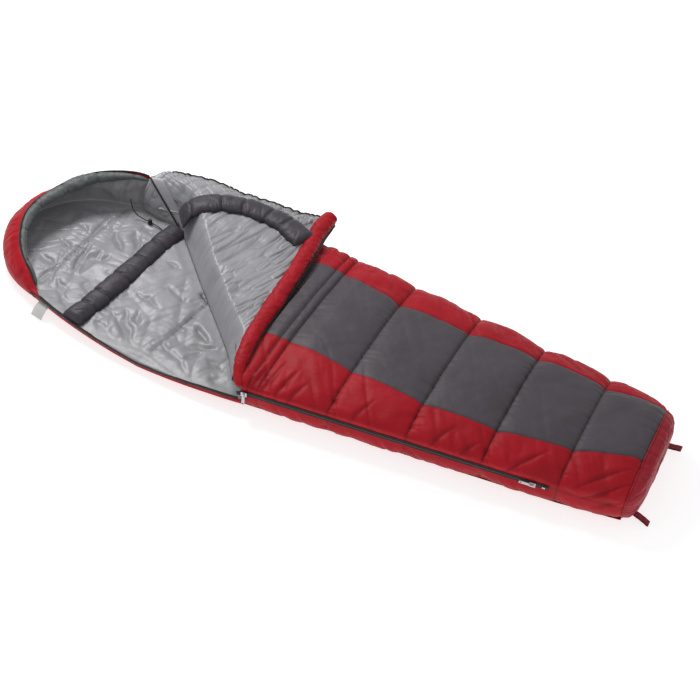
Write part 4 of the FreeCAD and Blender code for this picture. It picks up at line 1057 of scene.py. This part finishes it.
def fold_spot(u, offset):
    """Plan position on a row of the flap, at an offset from the fold line."""
    x = FOLD_NEAR[0] + u * (FOLD_FAR - FOLD_NEAR)[0] + offset * HEAD_ALONG[0]
    y = FOLD_NEAR[1] + u * (FOLD_FAR - FOLD_NEAR)[1] + offset * HEAD_ALONG[1]
    return x, y


def flap_spot(u, share):
    """Flap plan: u from the slider corner to the head edge, share from the fold to the zipper."""
    u, share = np.broadcast_arrays(u, share)
    offset = fold_start(u)[0]
    reach = u * HEAD_LENGTH - 0.030 * smooth(u, 0.02, 0.12)
    run = offset + (reach - offset) * share
    bow = 0.066 * np.sin(np.pi * np.clip(share, 0, 1) ** 0.62) * smooth(u, 0.55, 1.0)
    x, y = fold_spot(u, run)
    return x - bow * HEAD_ALONG[1], y + bow * HEAD_ALONG[0], run - offset


def flap_droop(u, share):
    """Rounding of the quilt towards its head edge."""
    swell = 0.020 * near_line(share - 0.14, 0.24) * smooth(u, 0.72, 0.97)
    dip = 0.007 * near_line(share - 0.62, 0.16) * smooth(u, 0.8, 1.0)
    return 0.013 * smooth(u, 0.94, 1.0) * smooth(share, 0.0, 0.2) - swell + dip


def flap_top(u, share):
    """Height of the turned-back lining, and painted shade for its creases."""
    x, y, run = flap_spot(u, share)
    level = fold_start(u)[1]
    up = np.clip(run / fold_slope(u), 0, 1)
    z = level + (FLAP_TOP - 0.004 - level) * np.sin(up * np.pi / 2) ** 0.80
    gather = streaks(x, y, 72, 0.020, 0.15, 161, 2.2)
    wide = streaks(x, y, 66, 0.055, 0.22, 167, 2.0)
    fine = streaks(x, y, 78, 0.009, 0.06, 173, 2.0)
    near_tube = smooth(share, 0.62, 0.95)
    near_head = smooth(u, 0.80, 0.95)
    pull = valleys(share * 34 + 2 * u, u * 9, 179) * near_head
    lift = 0.004 * billow(x / 0.10, y / 0.10, 181) - 0.0045 * wide - 0.0042 * gather
    lift = lift - 0.0014 * fine - 0.004 * pull - 0.0030 * near_tube * fine
    full = smooth(up, 0.0, 0.6)
    z = z + lift * full - flap_droop(u, share) * smooth(up, 0.0, 0.9)
    # painted shade in the gathers, pulls and folds
    dark = (0.16 * gather + 0.06 * wide + 0.05 * fine + 0.18 * pull + 0.15 * near_tube * fine) * (
        0.4 + 0.6 * full)
    angle = np.arctan2(y - 0.222, x - at_x(0.470))
    away = np.hypot(y - 0.222, x - at_x(0.470))
    rays = valleys(angle * 7, away / 0.2, 191) * np.exp(-away / 0.10) * smooth(u, 0.7, 0.85)
    return np.stack([x, y, z - 0.004 * rays], -1), np.clip(dark + 0.30 * rays, 0, 1)


def make_flap_lining():
    """Lining of the turned-back corner, and its roll over the fold from the base."""
    u = np.linspace(0.085, 1, 250)[:, None]
    reach = np.maximum(u * HEAD_LENGTH - 0.030 * smooth(u, 0.02, 0.12) - fold_start(u)[0], 0.004)
    edge = np.clip(fold_slope(u) / reach, 0, 0.9)
    roll, roll_dark = flap_top(u, edge * np.linspace(0, 1, 26)[None, :])
    top, top_dark = flap_top(u, edge + (1 - edge) * np.linspace(0, 1, 180)[None, :])
    tuck = np.linspace(0, 1, 9)[None, :-1]
    fold = roll[:, :1]
    curl = (1 - tuck) * np.pi
    rise = np.clip(0.5 * (CAVITY - 0.001 - fold[..., 2]), 0.001, 1)
    inner = np.stack([fold[..., 0] + 0.040 * (1 - tuck) * HEAD_ALONG[0],
                      fold[..., 1] + 0.040 * (1 - tuck) * HEAD_ALONG[1],
                      fold[..., 2] + rise * (1 - np.cos(curl))], -1)
    grid = np.concatenate([inner, roll], axis=1)
    shade = np.concatenate([0 * inner[..., 0], roll_dark], axis=1)
    piece = build("fold_roll", [grid], SILVER, "flap", (), [shade])
    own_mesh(piece)
    build("flap_lining_cloth", [top], SILVER, "flap", ("flap_lining",),
          [top_dark])

    u = np.linspace(0.12, NOTCH + 0.08, 160)[:, None]
    start = np.stack(fold_spot(u, fold_start(u)[0] + 0.68 * fold_slope(u)), -1)
    turn = np.linspace(-1, 1, 15)[None, :]
    back = 0.012 * np.abs(turn) + 0.005 * valleys(u / 0.05, turn * 1.5, 301)
    hinge = np.stack([start[..., 0] + back * HEAD_ALONG[0], start[..., 1] + back * HEAD_ALONG[1],
                      0.1172 + 0.0012 * turn + 0 * (start[..., 0] + back)], -1)
    piece = build("fold_shell", [hinge], CHARCOAL, None, (), rides=False)
    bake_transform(piece)
    return top


def make_flap_shell():
    """Outer side of the corner, face down while it is thrown back."""
    u = np.linspace(0.20, 0.992, 150)[:, None]
    wide_panel = 0.150 / (u * HEAD_LENGTH)
    seam = np.clip(1 - wide_panel, 0.02, 0.98)
    lines = (0.10, 0.46, 0.72, 1.0)
    for name, material, slot, nodes, side in (
        ("flap_shell_centre", CHARCOAL, "panel_charcoal", ("flap_centre_panel",), 0),
        ("flap_shell_side", RED, "shell_red", ("flap_side_panel", "flap_insulation"), 1),
    ):
        t = np.linspace(0, 1, 90)[None, :]
        share = t * seam if side == 0 else seam + (1 - seam) * t
        start = 0.74 * fold_slope(u) / np.maximum(u * HEAD_LENGTH - 0.060, 0.05)
        share = start + share * (0.99 - start)
        x, y, run = flap_spot(u, share)
        loft = pillow(u + 0 * share, lines)
        offset = np.min([np.abs(u - line) for line in lines], axis=0)
        gather = valleys(run / 0.020, u * 6, 201 + side) * np.exp(-offset / 0.05)
        z = FLAP_LOW + 0.0015 + 0.008 * (1 - loft) + 0.002 * gather + 0.0015 * billow(x / 0.08, y / 0.08, 205)
        z = np.minimum(z, FLAP_TOP - 0.020 - np.maximum(flap_droop(u, share), 0))
        # painted shade along the stitched lines and gathers
        dark = 0.8 * near_line(offset, 0.006) + 0.15 * gather
        build(name, [np.stack([x, y, z], -1)], material, "flap", nodes, [dark])


def make_flap_edges(lining):
    """Bound head edge, red zipper tube, and the zipper's upper half beside it."""
    edge = lining[-1]
    back = edge.copy()
    back[:, 2] = FLAP_LOW + 0.001
    turn = np.linspace(0, np.pi, 9)[None, :, None]
    outward = np.array([-HEAD_ALONG[1], HEAD_ALONG[0], 0.0])
    middle, half = 0.5 * (edge + back)[:, None], 0.5 * (edge - back)[:, None]
    rim = middle + half * np.cos(turn) + outward * 0.006 * np.sin(turn)
    build("flap_head_binding", [rim], BLACK, "flap", ("flap_binding",))
    path = edge + outward * 0.001 + np.array([0, 0, 0.0005])
    grid, _ = puffy_tube(path[2:], 0.0030, 0.0030, (), 211, ring=8, ends=0.004)
    build("flap_head_piping", [grid], BLACK, "flap", ())

    def on_edge(run, inset, level):
        spot = FOLD_NEAR + EDGE_ALONG * run + EDGE_INWARD * inset
        return (spot[0], spot[1], level)

    points = [on_edge(-0.012, -0.012, 0.098), on_edge(0.020, 0.006, 0.112), on_edge(0.070, 0.017, 0.128)]
    points += [on_edge(run, 0.018 + 0.005 * math.sin(run * 9), 0.1375 + 0.001 * math.sin(run * 17))
               for run in (0.16, 0.25, 0.34, 0.43, 0.52, 0.61, 0.70)]
    points += [on_edge(0.755, 0.014, 0.139), on_edge(0.800, 0.004, 0.141)]
    path, length = smooth_path(points, 330)
    run = np.linspace(0, length, len(path))
    wide = np.interp(run, [0, 0.03, 0.10, 0.3, 0.68, 0.76, length],
                     [0.010, 0.015, 0.021, 0.027, 0.026, 0.029, 0.024])
    high = np.interp(run, [0, 0.05, 0.12, length], [0.010, 0.013, 0.0195, 0.0205])
    grid, dark = puffy_tube(path, wide, high, (), 221, ring=40, pucker=0.015, ends=0.012)
    build("flap_zipper_tube", [grid], RED, "flap", ("flap_edge_tube",), [dark])

    side = tube_frame(path)[0]
    toward = side * np.sign(side[:, :1])
    sewn = slice(12, len(path) - 10)
    outside, toward = (path + toward * (wide * 0.93)[:, None])[sewn], toward[sewn]
    levels = np.linspace(-1, 1, 5)[None, :]
    tape = outside[:, None, :] + np.array([0, 0, 0.0075]) * levels[..., None] - np.array([0, 0, 0.005])
    tape = tape + toward[:, None, :] * (0.0015 + 0.004 * (levels < 0) * -levels)[..., None]
    build("flap_tape", plate(tape, 0.0010), TAPE, "flap", ("flap_zipper_tape",))
    line = outside + toward * 0.0052 - np.array([0, 0, 0.0115])
    build("flap_coil", [coil(line[3:-8], toward[3:-8])], TEETH, "flap", ("flap_zipper_coil",))


def coil(path, outward, pitch=0.0028, wide=0.0024, high=0.0012):
    """Row of zipper coils laid along a path."""
    run = runs_along(path)
    even = np.arange(0, run[-1], pitch / 4)
    line = np.stack([np.interp(even, run, path[:, k]) for k in range(3)], -1)
    out = np.stack([np.interp(even, run, outward[:, k]) for k in range(3)], -1)
    along = np.gradient(line, axis=0)
    along = along / np.linalg.norm(along, axis=1, keepdims=True)
    side = np.cross(out, along)
    beat = 0.72 + 0.28 * np.cos(2 * np.pi * even / pitch)
    turn = np.linspace(0, 2 * np.pi, 9)[None, :, None]
    return line[:, None] + side[:, None] * np.cos(turn) * (wide * beat)[:, None, None] + (
        out[:, None] * np.sin(turn) * (high * beat)[:, None, None])


def make_notch():
    """Gusset between the hood and the fold, with its black bound edge."""
    u = np.linspace(1.0, NOTCH, 60)
    offset, level = fold_start(u)
    top = np.stack([*fold_spot(u, offset), level], -1)
    t = np.linspace(0, 1, 26)[None, :]
    drop = (top[:, 2] - 0.040)[:, None]
    low = top[:, None, :] + np.zeros((1, 26, 1))
    fan = np.linspace(1, 0, 60)[:, None]
    lean = 0.030 * t + 0.014 * np.sin(np.pi * t)
    low[..., 0] -= lean * 0.35 * fan
    low[..., 1] -= lean * 0.75 * fan
    rays = valleys(np.linspace(0, 1, 60)[:, None] * 9 + t * 2, t * 2, 231)
    low[..., 2] = top[:, None, 2] - drop * t
    low[..., 1] += 0.005 * rays * np.sin(np.pi * t)
    # painted shade in the radiating gathers
    build("notch_gusset", [low], SILVER, "bag", (),
          [0.35 * rays * np.sin(np.pi * t)])
    path = top[1:-2] + np.array([0.0, -0.002, 0.001])
    grid, _ = puffy_tube(path, 0.0027, 0.0027, (), 237, ring=8, ends=0.004)
    build("notch_binding", [grid], BLACK, "bag", ())


# ---------------------------------------------------------------- zippers
def make_zippers():
    stations = np.linspace(0.972, 1.8837, 300)
    for name, low, high, nodes in (
        ("zipper_tape_lower", 0.0655, 0.0735, ("lower_zipper_tape",)),
        ("zipper_tape_upper", 0.0745, 0.0825, ("upper_zipper_tape",)),
    ):
        parts = 1 - np.arcsin(1 - np.linspace(low, high, 5) / SPRING) / (np.pi / 2)
        grid, _ = tube_grid(stations, parts)
        grid = grid + np.array([0, -0.0016, 0])
        build(name, plate(grid, 0.0008), TAPE, "bag", nodes)
    grid, _ = tube_grid(stations[8:], np.array([ZIP_PART - 0.01, ZIP_PART, ZIP_PART + 0.01]))
    line = grid[:, 1] + np.array([0, -0.0026, 0])
    outward = np.tile([-0.118, -0.993, 0.0], (len(line), 1))
    build("zipper_teeth", [coil(line, outward)], TEETH, "bag", ("zipper_coil",))

    start, end = run_at(0.975, -1), run_at(0.222, -1)
    runs = np.linspace(start, end, 260)
    reach = np.linspace(-0.0045, 0.0065, 5)
    edge, inward = edge_frame(runs)
    level = rim_level(runs) + 0.0125
    level = level + (0.0375 - level) * np.clip(lip_rise(runs) / 0.06, 0, 1)
    tape = edge[:, None] + inward[:, None] * reach[None, :, None]
    tape[..., 2] = level[:, None] + 0.0012 - 0.10 * np.abs(reach)[None, :]
    tape[..., 2] += 0.0012 * noise(runs / 0.03, 0.5, 241)[:, None]
    build("open_tape", plate(tape, 0.0012), TAPE, "bag", ("open_zipper_tape",))
    line = tape[4:-6, 0] + np.array([0, 0, 0.0009])
    up = np.tile([0, 0, 1.0], (len(line), 1))
    build("open_teeth", [coil(line, up)], TEETH, "bag", ("open_zipper_coil",))


def make_draft_tube():
    low, high = corners_of("zipper_draft_tube")
    r = 0.5 * (high[2] - low[2])
    middle = 0.5 * (low + high)
    points = [(low[0], low[1] + r, low[2] + r), (middle[0], middle[1], low[2] + r),
              (high[0], high[1] - r, low[2] + r)]
    path, length = smooth_path(points, 240)
    grid, dark = puffy_tube(path, r * 0.97, r * 0.97, np.arange(0.1, length, 0.15), 251, ring=14, ends=0.01)
    build("draft_tube", [grid], COLLAR, "bag", ("zipper_draft_tube",), [dark])


# ---------------------------------------------------------------- small pieces
def ribbon(name, points, across, thickness, material, body, nodes, count=40):
    """Folded strap following a path."""
    path, _ = smooth_path(points, count)
    across = np.array(across)
    steps = np.linspace(-0.5, 0.5, 9)[None, :, None]
    grid = path[:, None] + across[None, None] * steps
    grid[..., 2] += 0.0003 * np.sin(np.linspace(0, 40, count))[:, None]
    return build(name, plate(grid, thickness), material, body, nodes)


def make_loops():
    for name, drop, lean in (("far_hanging_loop", 0.0, 0.010), ("near_hanging_loop", -0.008, -0.012)):
        low, high = corners_of(name)
        middle, width = 0.5 * (low + high), 0.92 * (high[1] - low[1])
        x0, x1 = low[0] - 0.012, high[0] + 0.002
        top, bottom = high[2] - 0.001, low[2] + 0.001
        y, half_x = middle[1], x0 + 0.5 * (x1 - x0)
        points = [(x0, y, bottom), (half_x, y + 0.5 * lean, bottom + 0.4 * drop),
                  (x1 - 0.003, y + lean, bottom + drop), (x1, y + lean, 0.5 * (top + bottom) + drop),
                  (x1 - 0.003, y + lean, top + drop), (half_x, y + 0.5 * lean, top + 0.4 * drop),
                  (x0, y, top)]
        ribbon(name + "_strap", points, (0, width, 0), 0.0012, WEBBING, "bag", (name,), 60)


def edge_spot(station):
    """Edge point, inward and along directions on the near side."""
    edge, inward = (v[0] for v in edge_frame(np.array([run_at(station, -1)])))
    return edge, inward, np.array([-inward[1], inward[0], 0.0])


def make_label():
    edge, inward, along = edge_spot(0.285)
    points = [edge + inward * 0.004 + [0, 0, 0.040], edge - inward * 0.012 + [0, 0, 0.034],
              edge - inward * 0.026 + [0, 0, 0.020], edge - inward * 0.036 + [0, 0, 0.006]]
    steps = np.linspace(-0.5, 0.5, 13)
    path, length = smooth_path(points, 30)
    grid = path[:, None] + (along * LABEL_WIDTH)[None, None] * steps[None, :, None]
    ripple = 0.0022 * np.sin(3.0 * steps)[None, :] * np.linspace(0, 1, 30)[:, None]
    grid = grid - inward[None, None] * ripple[..., None]
    grid[..., 2] = np.maximum(grid[..., 2], 0.001)
    mesh = build("side_label_cloth", plate(grid, 0.0005), LABEL, "bag", ("side_label",))


def make_garage_tab():
    edge, inward, along = edge_spot(0.235)
    path = [edge + along * reach + inward * 0.004 + [0, 0, 0.0405] for reach in (-0.013, 0, 0.013)]
    ribbon("garage_tab_cloth", path, inward * 0.017, 0.0014, BLACK, "bag", ("zipper_garage_tab",),
           20)


CORD_ROUTE = ((-0.7658, 0.2107, 0.1104), (-0.764, 0.2115, 0.082), (-0.748, 0.216, 0.052),
              (-0.722, 0.216, 0.0449), (-0.668, 0.211, 0.0449), (-0.6412, 0.202, 0.0405))


def make_cord():
    curve = bpy.data.curves.new("hood_cord", "CURVE")
    curve.dimensions = "3D"
    line = curve.splines.new("NURBS")
    line.points.add(len(CORD_ROUTE) - 1)
    for point, place in zip(line.points, CORD_ROUTE):
        point.co = (*place, 1.0)
    line.order_u = 3
    line.use_endpoint_u = True
    line.resolution_u = 24
    curve.bevel_depth = CORD_THICKNESS / 2
    curve.bevel_resolution = 4
    curve.materials.append(CORD)
    cord = add_object("hood_cord", curve)
    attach(cord, "bag")
    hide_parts("hood_drawcord")

    middle = 0.5 * sum(corners_of("cord_end_knot"))
    turn = np.linspace(0, 2 * np.pi, 70)
    knot = np.stack([0.0019 * (np.sin(turn) + 1.2 * np.sin(2 * turn)),
                     0.0019 * (np.cos(turn) - 1.2 * np.cos(2 * turn)), -0.0016 * np.sin(3 * turn)], -1)
    path = knot[:-1] + middle
    side, up = tube_frame(path)
    ring = np.linspace(0, 2 * np.pi, 9)[None, :, None]
    grid = path[:, None] + 0.0016 * (side[:, None] * np.cos(ring) + up[:, None] * np.sin(ring))
    grid = np.concatenate([grid, grid[:1]])
    build("cord_knot", [grid], CORD, "bag", ("cord_end_knot",))


def finish_hardware():
    """Better finishes on the hard pieces that keep their CAD shape."""
    finishes = {
        METAL: ("upper_slider", "upper_pull", "lower_slider", "lower_pull", "zipper_bottom_stop",
                "open_zipper_stop", "flap_top_stop"),
        PLASTIC: ("cord_lock_barrel", "cord_lock_button"),
        STEEL: ("cord_lock_spring",),
    }
    for material, names in finishes.items():
        for name in names:
            for piece in bpy.data.objects:
                if piece.type == "MESH" and piece.name.split(".")[0] == name:
                    piece.data.materials.clear()
                    piece.data.materials.append(material)


make_camera()
make_studio()
make_cord()
make_leg_tube()
make_leg_lining()
make_foot()
make_shoulder()
make_base_shell()
make_base_lining()
make_face_tube()
make_collars()
make_flap_edges(make_flap_lining())
make_flap_shell()
make_notch()
make_zippers()
make_draft_tube()
make_loops()
make_label()
make_garage_tab()
finish_hardware()
